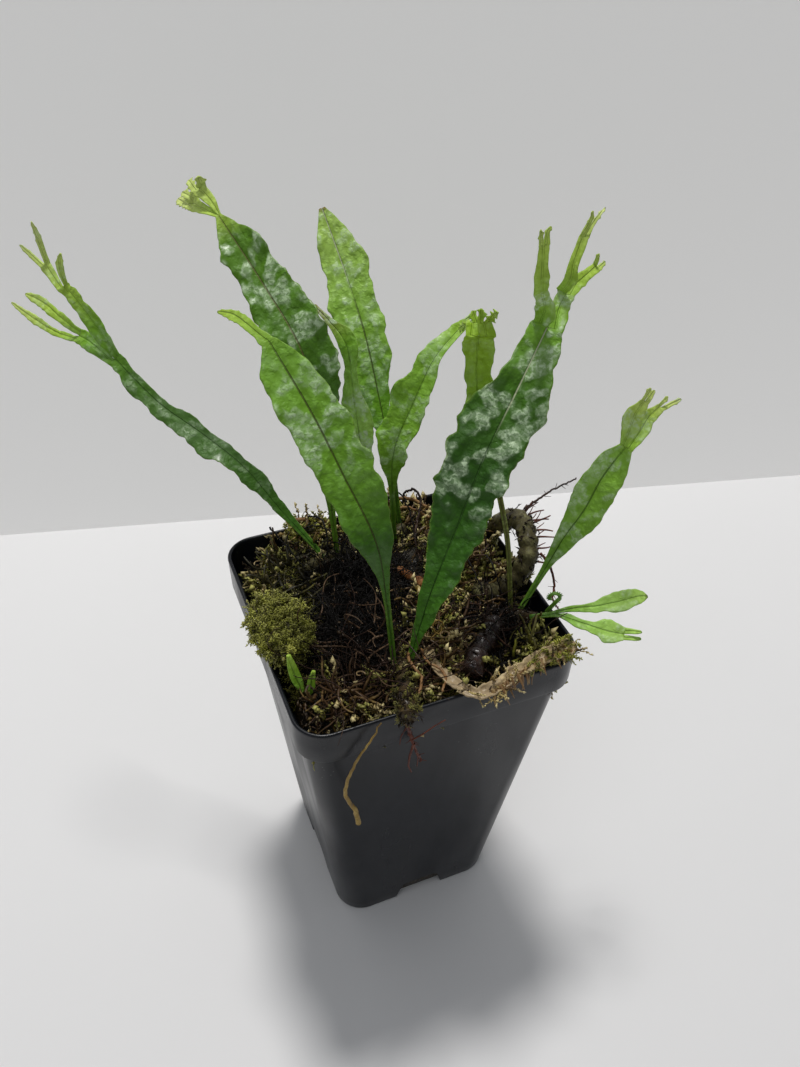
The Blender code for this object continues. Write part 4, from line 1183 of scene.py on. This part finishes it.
def moss_finish(name, dark, middle, light, tip, patches=160.0, tip_share=0.7):
    made, tree, shader = new_material(name, Specular_IOR_Level=0.35, Coat_Roughness=0.3)
    place = object_space(tree)
    tone = value_of(tree, "tone")
    near_tip = value_of(tree, "tip")
    moved = maths(tree, "MULTIPLY_ADD", tone, 0.36)
    moved.node.inputs[2].default_value = -0.18
    tones = use_group(tree, patchy, Vector=place, Dark=dark, Middle=middle, Light=light,
                      Patches_per_metre=patches,
                      Shift=moved)
    base = mix(tree, times(tree, band(tree, near_tip, 0.3, 1.0), tip_share), tones["Colour"], tip)
    wire(tree, shader, Base_Color=base, Roughness=band(tree, tones["Height"], 0.3, 0.7, 0.45, 0.8),
         Coat_Weight=band(tree, tones["Height"], 0.5, 0.8, 0.3, 0.0),
         Normal=bump(tree, tones["Height"], 0.3, 0.2))
    return made


bright_moss = moss_finish("yellow_green_moss", (0.08, 0.070, 0.008), (0.29, 0.30, 0.028),
                          (0.49, 0.50, 0.07),
                          (0.68, 0.68, 0.19))
olive_moss = moss_finish("olive_moss", (0.022, 0.018, 0.004), (0.125, 0.110, 0.016), (0.34, 0.32, 0.055),
                         (0.50, 0.48, 0.13))
straw_moss = moss_finish("straw_moss", (0.06, 0.028, 0.008), (0.26, 0.17, 0.045), (0.58, 0.46, 0.18),
                         (0.74, 0.63, 0.32))
# Very dark litter for the "dark" spots, partly painted shade.
brown_litter = moss_finish("brown_litter", (0.003, 0.002, 0.0012), (0.011, 0.006, 0.003),
                           (0.035, 0.020, 0.009),
                           (0.06, 0.036, 0.015))
peat, tree, shader = new_material("wet_peat", Specular_IOR_Level=0.4, Coat_Roughness=0.25)
place = object_space(tree)
dark_here = value_of(tree, "dark")
tones = use_group(tree, patchy, Vector=place, Dark=(0.005, 0.003, 0.0015), Middle=(0.030, 0.020, 0.006),
                  Light=(0.11, 0.082, 0.020), Patches_per_metre=180.0)
# Near-black where "dark" is strong: partly the black root mats' colour, partly painted shade.
base = mix(tree, band(tree, dark_here, 0.1, 0.6), tones["Colour"], (0.0015, 0.001, 0.0008))
wire(tree, shader, Base_Color=base, Roughness=band(tree, tones["Height"], 0.3, 0.7, 0.4, 0.8),
     Coat_Weight=band(tree, tones["Height"], 0.5, 0.8, 0.25, 0.0),
     Normal=bump(tree, tones["Height"], 0.8, 0.8))

# %% Grow the moss
mound.data.materials.append(peat)
pieces = [
    growth("moss_heads_olive", mound, heads, "fluff", olive_moss, 330000, 0.5, 1.05, 1.0, 3),
    growth("moss_heads_green", mound, heads, "fluff", bright_moss, 230000, 0.45, 1.0, 1.0, 5),
    growth("moss_shreds_straw", mound, shreds, "shred", straw_moss, 270000, 0.65, 1.3, 0.5, 7, -0.2),
    growth("moss_shreds_olive", mound, shreds, "shred", olive_moss, 270000, 0.65, 1.3, 0.5, 8, -0.2),
    growth("moss_litter", mound, shreds, "dark", brown_litter, 330000, 0.4, 0.9, 0.7, 9, 0.0),
]
piece(mound, "moss", "moss_bed")
for grown in pieces:
    piece(grown, "dried_moss" if "straw" in grown.name else "moss")

# %% [markdown]
# One cushion of moss has swelled over the pot's left edge. It is the brightest, because it gets the most
# light. Two smaller tufts rise behind the fronds, above the back rim. Each has a core, an icosphere with
# lumps added, and heads and shreds stand all over it.

# %% Cushions that rise above the rim


def cushion(name, centre, radii, finish):
    ball = bmesh.new()
    bmesh.ops.create_icosphere(ball, subdivisions=5, radius=1)
    for vertex in ball.verts:
        x, y, z = vertex.co
        swell = 0.80 + 0.13 * wobble(x * 2.2, y * 2.2, z * 2.2 + 4) + 0.07 * wobble(x * 6, y * 6, z * 6)
        vertex.co = [(centre[i] + radii[i] * swell * vertex.co[i]) * MM for i in range(3)]
    mesh = bpy.data.meshes.new(name)
    ball.to_mesh(mesh)
    ball.free()
    core = in_scene(name, mesh)
    mesh.materials.append(finish)
    mesh.shade_smooth()
    store(mesh, "over", [1.0] * len(mesh.vertices))
    return core


cushion_low, cushion_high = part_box("moss_clump_left")
left = cushion("moss_cushion", (cushion_low + cushion_high) / 2 / MM, (cushion_high - cushion_low) / 2 / MM,
               olive_moss)
piece(growth("moss_cushion_heads", left, heads, "over", bright_moss, 900000, 0.36, 0.80, 0.8, 21, 0.4),
      "bright_moss")
piece(growth("moss_cushion_shreds", left, shreds, "over", olive_moss, 120000, 0.3, 0.6, 0.9, 22, 0.2),
      "bright_moss")
piece(left, "bright_moss", "moss_clump_left")
for number, (centre, radii) in enumerate([((-15, 39, 130.6), (9, 4.2, 5.0)),
                                          ((11, 38, 129.6), (9, 4.0, 4.2))]):
    tuft = cushion(f"back_tuft_{number}", centre, radii, olive_moss)
    piece(growth(f"back_tuft_{number}_heads", tuft, heads, "over", bright_moss, 300000, 0.4, 0.85, 0.9,
                 61 + number), "moss")
    piece(growth(f"back_tuft_{number}_shreds", tuft, shreds, "over", straw_moss, 300000, 0.4, 0.9, 0.9,
                 71 + number, 0.1),
          "dried_moss")
    piece(tuft, "moss")

# %% [markdown]
# ## Rhizomes
# A java fern creeps: its thick stem, the rhizome, grows along the surface and bends up into arches. It is
# knobbly and covered in small dark scales. Each one is a tube of closely spaced rings round its path, with
# radii that swell and shrink, and scales scattered over it by the same tree that scattered the moss.

# %% Rhizome finishes


def bark(name, dark, middle, light, patches=260.0, rough=(0.45, 0.8), coat=0.15):
    made, tree, shader = new_material(name, Specular_IOR_Level=0.25, Coat_Roughness=0.2)
    place = object_space(tree)
    tones = use_group(tree, patchy, Vector=place, Dark=dark, Middle=middle, Light=light,
                      Patches_per_metre=patches)
    wire(tree, shader, Base_Color=tones["Colour"], Roughness=band(tree, tones["Height"], 0.3, 0.7, *rough),
         Coat_Weight=band(tree, tones["Height"], 0.4, 0.7, coat, 0.0),
         Normal=bump(tree, tones["Height"], 0.7, 0.35))
    return made


green_bark = bark("green_brown_rhizome", (0.012, 0.008, 0.004), (0.065, 0.055, 0.020), (0.20, 0.19, 0.080))
brown_bark = bark("brown_rhizome", (0.010, 0.006, 0.003), (0.045, 0.028, 0.010), (0.14, 0.10, 0.035))
dark_bark = bark("dark_wet_rhizome", (0.004, 0.002, 0.002), (0.014, 0.006, 0.005), (0.040, 0.018, 0.013),
                 rough=(0.2, 0.55), coat=0.6)
orange_bark = bark("orange_brown_rhizome", (0.04, 0.012, 0.005), (0.20, 0.075, 0.022), (0.44, 0.22, 0.09))
scale_bark = bark("rhizome_scales", (0.004, 0.003, 0.002), (0.016, 0.009, 0.005), (0.05, 0.028, 0.012))

# %% Grow the rhizomes
# path, radius at the start, radius at the end, finish, scales per square metre
RHIZOMES = {
    "rhizome_arched": ([(43, 16, 133), (44.5, 9, 142), (44, 1, 147), (42.5, -6, 147), (40.5, -11, 142.5),
                        (36.5, -11, 135), (31, -10, 131), (24, -8, 131)], 3.3, 3.0, green_bark, 260000),
    "rhizome_right": ([(31.5, -19.5, 128.5), (35, -20.5, 128.5), (38.5, -25.5, 129.5)], 2.2, 1.8,
                      brown_bark, 300000),
    "rhizome_dark": ([(25, -22, 130.5), (21, -26, 131), (14, -33, 131), (8.5, -39, 130.5)], 3.2, 3.6,
                     dark_bark, 120000),
    "rhizome_front": ([(-5, -20, 128), (-8, -28, 128), (-11, -37, 130.5), (-13.5, -44, 133.4),
                        (-15, -49, 133.6)], 2.4, 2.7, brown_bark, 700000),
    "rhizome_stub": ([(6, 11, 130.5), (8, 4, 132), (10, -3, 134)], 1.3, 1.6, orange_bark, 60000),
    "rhizome_back": ([(-22, 24, 128), (-10, 27, 128.4), (4, 27, 128.4), (17, 32, 128.2)], 2.3, 2.5,
                     green_bark, 120000),
}
RHIZOME_SLOTS = {"rhizome_dark": "dark_rhizome", "rhizome_stub": "orange_rhizome"}


def knobbly(name, path, start, end, finish, seed, sides=22, step=0.6):
    """A stem with swollen joints, wrinkled skin and rounded ends."""
    length = length_of(path, 200)
    count = max(8, round(length / step))
    rings = []
    axis = np.array([0.31, 0.22, 0.92])
    for i in range(count + 1):
        s = i / count
        ahead = ahead_on(path, s, 0.02)
        axis = unit(axis - ahead * float(axis @ ahead))
        other = np.cross(ahead, axis)
        d = s * length
        end_gap = min(d, length - d)
        cap = math.sqrt(min(1.0, max(0.02, end_gap / 1.4 * (2 - end_gap / 1.4)))) if end_gap < 1.4 else 1.0
        joint = 1 + 0.10 * math.sin(d / 4.6 * math.tau + seed) + 0.06 * wobble(d / 2.0, seed)
        ring = []
        for k in range(sides):
            angle = k * math.tau / sides
            out = axis * math.cos(angle) + other * math.sin(angle)
            skin = 1 + (0.13 * wobble(math.cos(angle) * 1.6 + seed, math.sin(angle) * 1.6, d / 2.4)
                        + 0.07 * wobble(math.cos(angle) * 4, math.sin(angle) * 4 + seed, d / 0.9))
            ring.append(along(path, s) + out * (start + (end - start) * s) * joint * skin * cap * 0.97)
        rings.append(ring)
    return mesh_object(name, *stacked(rings), [finish])


flake = gather("flakes", [moss_shred(f"flake_{n}", 70 + n, 1.4 + 0.3 * n, 0.75,
                                     leaves=2) for n in range(4)])
for number, (name, (path, start, end, finish, scales)) in enumerate(RHIZOMES.items()):
    stem = knobbly(f"{name}_stem", path, start, end, finish, 2.0 + number)
    store(stem.data, "over", [1.0] * len(stem.data.vertices))
    slot = RHIZOME_SLOTS.get(name, "rhizome")
    if scales:
        piece(growth(f"{name}_scales", stem, flake, "over", scale_bark, scales, 0.6, 1.1, 0.5, 30 + number,
                     0.2), slot)
    if name == "rhizome_front":
        fuzz = growth("rhizome_front_moss", stem, heads, "over", olive_moss, 330000, 0.22, 0.5, 1.0, 41,
                      0.3)
        piece(fuzz, "moss")
    piece(stem, slot, name)

# %% [markdown]
# ## Roots
# Java fern roots are black wire: they wander, fork and mat together over the moss until nothing else shows.
# A seeded random walk that follows the moss makes each hair. The longer roots that stand clear follow their
# solids' paths, with side hairs along them.

# %% Root finishes
black_root = bark("black_root_hair", (0.001, 0.0008, 0.0007), (0.003, 0.002, 0.0016),
                  (0.009, 0.006, 0.0045), 300.0,
                  (0.55, 0.8), 0.02)
brown_root = bark("brown_root", (0.008, 0.003, 0.002), (0.026, 0.011, 0.006), (0.09, 0.045, 0.022), 300.0)
pale_root = bark("pale_brown_root", (0.03, 0.016, 0.009), (0.10, 0.058, 0.032), (0.22, 0.14, 0.08), 300.0)
red_root = bark("red_brown_root", (0.035, 0.008, 0.005), (0.11, 0.026, 0.014), (0.22, 0.07, 0.035), 300.0)
straw_root = bark("yellow_root", (0.10, 0.055, 0.012), (0.30, 0.19, 0.045), (0.52, 0.38, 0.12), 200.0)
tan_root = bark("tan_stalk", (0.08, 0.035, 0.012), (0.25, 0.13, 0.05), (0.42, 0.26, 0.12), 200.0)

# %% Mats of hairs over the moss
ROOTED_WITHIN, WALL_REACH, OVER_RIM = 39, 42.3, 131


def mat(name, finish, slot, seed, count, centre, spread, lengths, thickness, height, sides=4, lift=0.02,
        turn=0.5):
    rng = np.random.default_rng(seed)
    paths = []
    while len(paths) < count:
        x, y = rng.normal(centre[0], spread[0] / 2), rng.normal(centre[1], spread[1] / 2)
        if max(abs(x), abs(y)) > ROOTED_WITHIN:
            continue
        start = (x, y, ground(x, y) + rng.uniform(0, height))
        heading = (rng.normal(), rng.normal(), rng.normal(0.1, 0.35))
        line = wander(rng, start, heading, rng.uniform(*lengths), turn=turn, sink=0.06, lift=lift,
                      floor=ground)
        if any(max(abs(p[0]), abs(p[1])) > WALL_REACH and p[2] < OVER_RIM for p in line):
            continue
        thick = rng.uniform(*thickness)
        paths.append((line, thick, thick * 0.5))
    return piece(strands(name, paths, finish, sides), slot)


mat("root_mat_black", black_root, "root", 11, 850, (-7, 7), (18, 21), (8, 24), (0.25, 0.55), 5.5, lift=0.03)
mat("root_mat_left", black_root, "root", 12, 320, (-18, -13), (19, 15), (8, 22), (0.22, 0.5), 3.5)
mat("root_mat_right", black_root, "root", 13, 420, (27, -23), (15, 16), (5, 15), (0.22, 0.48), 4.5)
mat("root_wires_left", pale_root, "root", 16, 34, (-17, -14), (20, 22), (12, 28), (0.35, 0.75), 7.0, 6,
    0.05, 0.4)
mat("root_wires_right", brown_root, "root", 17, 60, (28, -22), (14, 14), (6, 16), (0.3, 0.55), 6.0, 5, 0.05,
    0.4)
mat("root_tangle_front", brown_root, "root", 14, 170, (-14, -31), (24, 13), (10, 30), (0.3, 0.65), 4.5, 5,
    0.04, 0.42)
mat("root_hairs_all", brown_root, "root", 15, 220, (0, 0), (70, 70), (6, 20), (0.18, 0.36), 4.0)

# %% Limp pale strands of moss over the bed
SKEINS = [
    ("skein_straw", straw_moss, 81, 110, (30, 6), (12, 22), (0.8, 1.5)),
    ("skein_front", straw_moss, 82, 70, (8, -26), (12, 22), (0.7, 1.3)),
    ("skein_olive", olive_moss, 83, 130, (-28, 24), (16, 22), (0.8, 1.5)),
    ("skein_back", straw_moss, 84, 80, (6, 34), (36, 8), (0.7, 1.3)),
    ("skein_corner", bright_moss, 85, 40, (34, -36), (14, 8), (0.7, 1.3)),
    ("skein_left", straw_moss, 86, 60, (-28, -34), (14, 8), (0.7, 1.2)),
]
for name, finish, seed, count, centre, spread, thickness in SKEINS:
    mat(name, finish, "dried_moss", seed, count, centre, spread, (5, 15), thickness, 4.6, 5, 0.10, 0.75)

pale_strand = moss_finish("bleached_strand", (0.30, 0.20, 0.09), (0.55, 0.42, 0.22), (0.78, 0.68, 0.44),
                          (0.85, 0.78, 0.56))
curls = []
for x, y, z, wide, turns in [(6.5, -25, 134.2, 1.7, 1.5), (2.6, -7, 134.5, 1.2, 0.8),
                             (12, -15, 134.0, 1.4, 0.7),
                             (-35, 33, 126.5, 2.2, 0.7), (30, 2, 136.0, 2.0, 0.8),
                             (-22, -30, 133.5, 1.6, 0.7)]:
    ring = [(x + wide * (1 - 0.5 * s) * math.cos(6.3 * turns * s),
             y + wide * (1 - 0.5 * s) * math.sin(6.3 * turns * s),
             z + 1.2 * s) for s in np.linspace(0, 1, 14)]
    curls.append((ring, 0.55, 0.3))
piece(strands("pale_curls", curls, pale_strand, 6), "dried_moss")

# %% Roots that stand clear
ROOTS = {
    "root_back_loop": ([(19, 39, 134), (20, 39, 138), (22, 36, 140.5), (23, 33, 138), (20, 28, 135),
                        (16, 21, 132.5), (13.5, 10, 132)], 0.9, 0.7, brown_root),
    "root_right_long": ([(48, 6, 147.5), (54, 9, 147), (62, 12, 147), (71, 13, 148.5)], 0.9, 0.5,
                        brown_root),
    "root_right_hanging": ([(44.5, -12, 144), (48, -13, 138), (49, -15.5, 132), (47.5, -18, 128.5),
                            (48.5, -20, 126)], 0.9, 0.6, red_root),
    "root_front_red": ([(-15, -47, 130), (-13.5, -46.5, 124), (-12, -46.4, 117), (-9.5, -46.2, 108)], 1.4,
                       0.7, red_root),
    "root_front_yellow": ([(-22, -46, 130.8), (-24.5, -46.4, 126), (-28.5, -46.4, 119.5),
                           (-31.5, -46.2, 112),
                           (-33, -46, 104.5), (-31.5, -46, 98), (-30, -46, 93), (-29, -46, 86.5)], 0.4, 1.7,
                           straw_root),
}


def side_hairs(rng, path, count, length, thick):
    """Short hairs that leave a root along its whole length."""
    hairs = []
    for _ in range(count):
        s = rng.uniform(0.05, 0.98)
        ahead = ahead_on(path, s, 0.02)
        out = unit(np.cross(ahead, rng.normal(size=3)))
        heading = unit(out + ahead * 0.7)
        hairs.append((wander(rng, along(path, s), heading, rng.uniform(0.4, 1.0) * length, 0.7, 0.4), thick,
                      thick * 0.4))
    return hairs


rng = np.random.default_rng(17)
for name, (path, start, end, finish) in ROOTS.items():
    line = [along(path, s) + rng.normal(0, 0.12, 3) for s in np.linspace(0, 1, 36)]
    lines = [(line, start, end)]
    if name != "root_front_yellow":
        lines += side_hairs(rng, path, 10, 3.0, 0.28)
    if name == "root_front_red":
        lines += [([(-12.6, -46.7, 120), (-9.5, -47, 121.5), (-6, -47, 123.5), (-2.5, -46.8, 124.5)], 0.5,
                   0.3),
                  ([(-12, -46.6, 118), (-13.2, -46.8, 113), (-13.6, -46.9, 108.5), (-12.6, -46.9, 105)],
                   0.9, 0.4),
                  ([(-11.5, -46.6, 115), (-10.6, -47, 111), (-10.9, -47, 107)], 0.6, 0.3),
                  ([(-14.4, -47.2, 128), (-16.5, -47.6, 124.5), (-16.8, -47.6, 121)], 0.5, 0.25)]
    piece(strands(f"{name}_fine", lines, finish, 7),
          "yellow_root" if name == "root_front_yellow" else "root", name)

stubs = []
arch = RHIZOMES["rhizome_arched"][0]
for s, (dx, dy, dz), length in [(0.16, (1, 0.6, 0.5), 8), (0.20, (1, 0.3, 0.7), 6),
                                (0.24, (1, 0.2, 0.25), 8),
                                (0.3, (1, -0.1, 0.05), 7), (0.34, (1, 0.1, 0.1), 8),
                                (0.4, (1, -0.2, 0.0), 6),
                                (0.45, (1, -0.3, 0.1), 6), (0.52, (1, -0.2, -0.3), 5),
                                (0.6, (1, -0.5, -0.2), 6)]:
    base = along(arch, s) + np.array([2.4, 0, 0])
    stubs.append((wander(rng, base, (dx, dy, dz), length, 0.9, 0.16), 0.75, 0.4))
    stubs.append((wander(rng, base + (1.5, 0.3, 0.3), (dx, dy + 0.5, dz + 0.3), length * 0.5, 0.8, 0.2),
                  0.4, 0.25))
piece(strands("arch_root_stubs", stubs, red_root, 6), "root")

loops = [
    ([(-29, 39, 136.5), (-26, 31, 134.5), (-23.5, 24, 132.5), (-22, 18, 130.5)], 0.7, 0.5),
    ([(-16, 41, 135), (-14.5, 37, 138.5), (-12, 33, 138.5), (-12.5, 28, 135), (-14, 24, 131)], 0.7, 0.5),
    ([(-20, 36, 134), (-16, 33, 138), (-11, 30, 137), (-8, 25, 133)], 0.6, 0.4),
    ([(-6, 30, 132), (-3, 32, 138), (2, 32, 139), (5, 29, 133)], 0.6, 0.4),
    ([(10, 31, 133), (12, 36, 139), (16, 36, 141), (18, 30, 136), (17, 24, 131)], 0.7, 0.5),
    ([(-32, -6, 132), (-26, -11, 136), (-20, -14, 134), (-15, -18, 131)], 0.5, 0.35),
    ([(34, 4, 133), (31, -2, 139), (30, -9, 140), (31, -14, 133)], 0.6, 0.4),
    ([(28, 8, 133), (26, 2, 137), (25, -6, 137), (26, -13, 132)], 0.6, 0.4),
]
fine_loops = [([along(p, s) + rng.normal(0, 0.15, 3) for s in np.linspace(0, 1, 24)], a, b) for p, a,
              b in loops]
piece(strands("root_loops", fine_loops, black_root, 6), "root")

arcs = [
    ([(8, 36, 132), (13, 38, 136), (20, 37, 136.5), (27, 33, 133)], 1.5, 1.1),
    ([(6, 33, 132), (12, 35, 134.6), (19, 34, 135), (25, 30, 132)], 1.1, 0.8),
    ([(-22, 42, 133.5), (-18, 41, 135), (-13, 40, 134.5), (-8, 38, 132.5)], 2.0, 1.4),
    ([(-4, -24, 131), (-7, -30, 134), (-6, -37, 133.5), (-9, -42, 133)], 1.0, 0.8),
    ([(-1, -25, 131), (-2, -31, 133), (1, -37, 132.5), (-2, -43, 132.5)], 0.9, 0.7),
]
fine_arcs = [([along(p, s) + rng.normal(0, 0.12, 3) for s in np.linspace(0, 1, 24)], a, b) for p, a,
             b in arcs]
piece(strands("dead_stalks", fine_arcs, tan_root, 7), "root")

curl = [(5.8 + (2.2 - 0.10 * k) * math.cos(k * 0.62) * 0.9, -21.4 + 1.2 * math.sin(k * 0.62),
         134.4 + (2.2 - 0.10 * k) * math.sin(k * 0.62)) for k in range(15)]
piece(strands("pale_curl", [([(4, -21, 130)] + curl, 0.6, 0.35)], straw_root, 6), "root")

# %% [markdown]
# ## The dead strand on the front rim
# A flat strand of dead sphagnum lies over the front edge with its pale tips hanging outside. It is a torn
# ribbon along the solid's path, crumpled by noise and thickened, with shreds and a few live heads on it.

# %% The dead strand
STRAND = [(1.5, -23, 129.5), (0.5, -31, 130.8), (2, -40.5, 132.6), (6, -47, 132.8), (12.5, -47, 132.7),
          (20, -44.5, 132.6), (28, -42, 132.4), (36, -41, 132.4), (42, -41.5, 132.6)]
rows, columns = 120, 10
points, faces, growing, outer = [], [], [], []
for i in range(rows + 1):
    s = i / rows
    ahead = ahead_on(STRAND, s, 0.02)
    across = unit(np.cross(ahead, np.array([0, -0.35, 1.0])))
    upper = np.cross(across, ahead)
    wide = (1.3 + 1.1 * s) * (1 + 0.35 * wobble(s * 14,
                                                1.0)) * (0.5 + 0.5 * smooth_step(min(s, 1 - s) * 12))
    for k in range(columns + 1):
        side = 2 * k / columns - 1
        torn = 1 + 0.30 * wobble(s * 40, 3.0 if side > 0 else 7.0)
        fold = 0.7 * wobble(s * 18, side * 1.4) + 0.35 * wobble(s * 60, side * 3.0) + 0.6 * side * side
        points.append(along(STRAND, s) + across * side * wide * torn + upper * fold)
        growing.append(smooth_step((s - 0.25) / 0.2) * 0.35)
        outer.append(smooth_step((s - 0.62) / 0.2))
for i in range(rows):
    for k in range(columns):
        a = i * (columns + 1) + k
        faces.append((a, a + 1, a + columns + 2, a + columns + 1))
dry_ribbon = moss_finish("dry_ribbon", (0.20, 0.11, 0.04), (0.50, 0.36, 0.16), (0.76, 0.62, 0.35),
                         (0.86, 0.76, 0.50),
                         patches=240.0, tip_share=0.3)
ribbon = mesh_object("dead_strand", points, faces, [dry_ribbon])
store(ribbon.data, "growing", growing)
store(ribbon.data, "outer", outer)
store(ribbon.data, "tip", [0.8] * len(points))
thicken = ribbon.modifiers.new("thickness", "SOLIDIFY")
thicken.thickness = 0.5 * MM
settle(ribbon)
piece(growth("dead_strand_shreds", ribbon, shreds, "growing", straw_moss, 620000, 0.25, 0.6, 1.0, 51, 0.0),
      "dried_moss")
piece(growth("dead_strand_heads", ribbon, heads, "outer", bright_moss, 330000, 0.35, 0.7, 1.2, 52, 0.0),
      "dried_moss")
piece(ribbon, "dried_moss", "dried_strand")

fringe = []
rng = np.random.default_rng(29)
for s in np.linspace(0.48, 0.93, 26):
    start = along(STRAND, s) + np.array([rng.normal(0, 0.5), -0.6, 0.2])
    heading = (rng.normal(0.1, 0.35), -0.75, -0.35)
    fringe.append((wander(rng, start, heading, rng.uniform(3.0, 7.5), 0.5, 0.25, sink=0.14),
                   rng.uniform(0.9, 1.7), 0.2))
piece(strands("dead_strand_fringe", fringe, dry_ribbon, 6), "dried_moss")

# %% [markdown]
# ## The young frond that is still rolled up
# A fern's new frond unrolls from a tight spiral. Here it is a tapering tube along the solid's spiral, with
# the first lobes of its blade as small closed scales along the outside.

# %% The fiddlehead
foot, centre = np.array((42.5, -23, 129.5)), np.array((42.5, -25.5, 138))
across = direction(-22, 0)
roll = [foot]
for step in range(8):
    angle = math.radians(-60) + 0.82 * math.tau * step / 7
    roll.append(centre + 2.0 * (1 - 0.06 * step) * (across * math.cos(angle) + np.array([0, 0,
                                                                                         1]) * math.sin(angle)))
young, tree, shader = new_material("young_frond", Roughness=0.4, Coat_Weight=0.2, Coat_Roughness=0.15)
place = object_space(tree)
tones = use_group(tree, patchy, Vector=place, Dark=(0.07, 0.17, 0.02), Middle=(0.16, 0.36, 0.04),
                  Light=(0.30, 0.52, 0.08), Patches_per_metre=500.0)
wire(tree, shader, Base_Color=tones["Colour"], Normal=bump(tree, tones["Height"], 0.4, 0.1))
lines = [([along(roll, s) for s in np.linspace(0, 1, 48)], 1.4, 0.8)]
lines += [([along(roll, s), along(roll, s) + 0.9 * unit(along(roll, s) - centre), along(roll, s + 0.04)],
           0.7, 0.2)
          for s in np.linspace(0.35, 0.94, 12)]
piece(strands("fiddlehead_roll", lines, young, 8), "light_frond", "fiddlehead")

# %% [markdown]
# ## Table, light and camera
# The plant stands on a plain pale table in front of a plain wall. One broad lamp nearly overhead and a
# little behind makes the short soft shadows, a second wide panel in front fills the pot's dark side and
# gives the wet leaves their sheen, and the room itself is an even dim white.

# %% Table and wall


def plain(name, colour, roughness):
    made, tree, shader = new_material(name, Roughness=roughness, Specular_IOR_Level=0.3)
    place = object_space(tree)
    clouds = noise_at(tree, place, 3.0, 5.0)
    darker = tuple(0.93 * c for c in colour)
    wire(tree, shader, Base_Color=mix(tree, clouds, darker, colour))
    return made, tree, shader


table = mesh_object("table", [(-2500, -2500, 0), (2500, -2500, 0), (2500, 2500, 0), (-2500, 2500, 0)],
                    [(0, 1, 2, 3)], [plain("white_paint", (0.80, 0.80, 0.81), 0.55)[0]])
WALL_LEFT, WALL_RIGHT = (-674.0, 379.0), (904.0, -13.0)
wall_paint, tree, shader = plain("grey_paint", (0.60, 0.60, 0.60), 0.8)
shader.inputs["Emission Color"].default_value = (1.0, 0.99, 0.97, 1)
shader.inputs["Emission Strength"].default_value = 0.30
behind = add(tree, "ShaderNodeNewGeometry", out=6)
clear = add(tree, "ShaderNodeBsdfTransparent")
seen = add(tree, "ShaderNodeMixShader", i0=behind, i1=shader.outputs[0], i2=clear)
tree.links.new(seen, tree.nodes["Material Output"].inputs["Surface"])
wall = mesh_object("wall", [(*WALL_LEFT, 0), (*WALL_RIGHT, 0), (*WALL_RIGHT, 480), (*WALL_LEFT, 480)],
                   [(0, 1, 2, 3)], [wall_paint])
wall.visible_shadow = False

# %% Lights


def lamp(name, place, aim, size, power, colour=(1, 1, 1)):
    data = bpy.data.lights.new(name, "AREA")
    data.shape = "DISK"
    data.size = size
    data.energy = power
    data.color = colour
    obj = in_scene(name, data)
    obj.location = place
    obj.rotation_euler = (Vector(aim) - Vector(place)).to_track_quat("-Z", "Y").to_euler()


middle = (0.0, 0.0, 0.14)
lamp("ceiling_lamp", (0.17, 0.68, 2.48), middle, 0.46, 38.5, (1.0, 0.98, 0.95))
lamp("front_panel", (-0.42, -0.48, 1.25), middle, 0.7, 2.2, (0.96, 0.98, 1.0))
world = bpy.data.worlds.new("room")
bpy.context.scene.world = world
world.use_nodes = True
world.node_tree.nodes["Background"].inputs["Color"].default_value = (0.93, 0.96, 1.0, 1)
world.node_tree.nodes["Background"].inputs["Strength"].default_value = 0.18
bpy.context.scene.view_settings.view_transform = "Standard"

# %% [markdown]
# The camera looks down on the plant from in front, slightly to its left, with a short lens near by. Its
# place and its two directions are given as vectors, and the rotation matrix is built from them.

# %% Camera
look = unit(np.array([0.29274, 0.70195, -0.64929]))
up = np.array([0.23123, 0.60691, 0.76039])
right = unit(np.cross(look, up))
up = np.cross(right, look)
view = bpy.data.cameras.new("camera")
view.sensor_width = 36.0
view.lens = 31.885
camera = in_scene("camera", view)
camera.matrix_world = Matrix([
    (right[0], up[0], -look[0], -81.0 * MM), (right[1], up[1], -look[1], -198.6 * MM),
    (right[2], up[2], -look[2], 339.3 * MM), (0, 0, 0, 1),
])
view.clip_start = 0.01
bpy.context.scene.camera = camera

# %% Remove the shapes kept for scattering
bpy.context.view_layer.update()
for kept in (heads, shreds, flake):
    for shape in list(kept.objects):
        bpy.data.objects.remove(shape)
    bpy.data.collections.remove(kept)
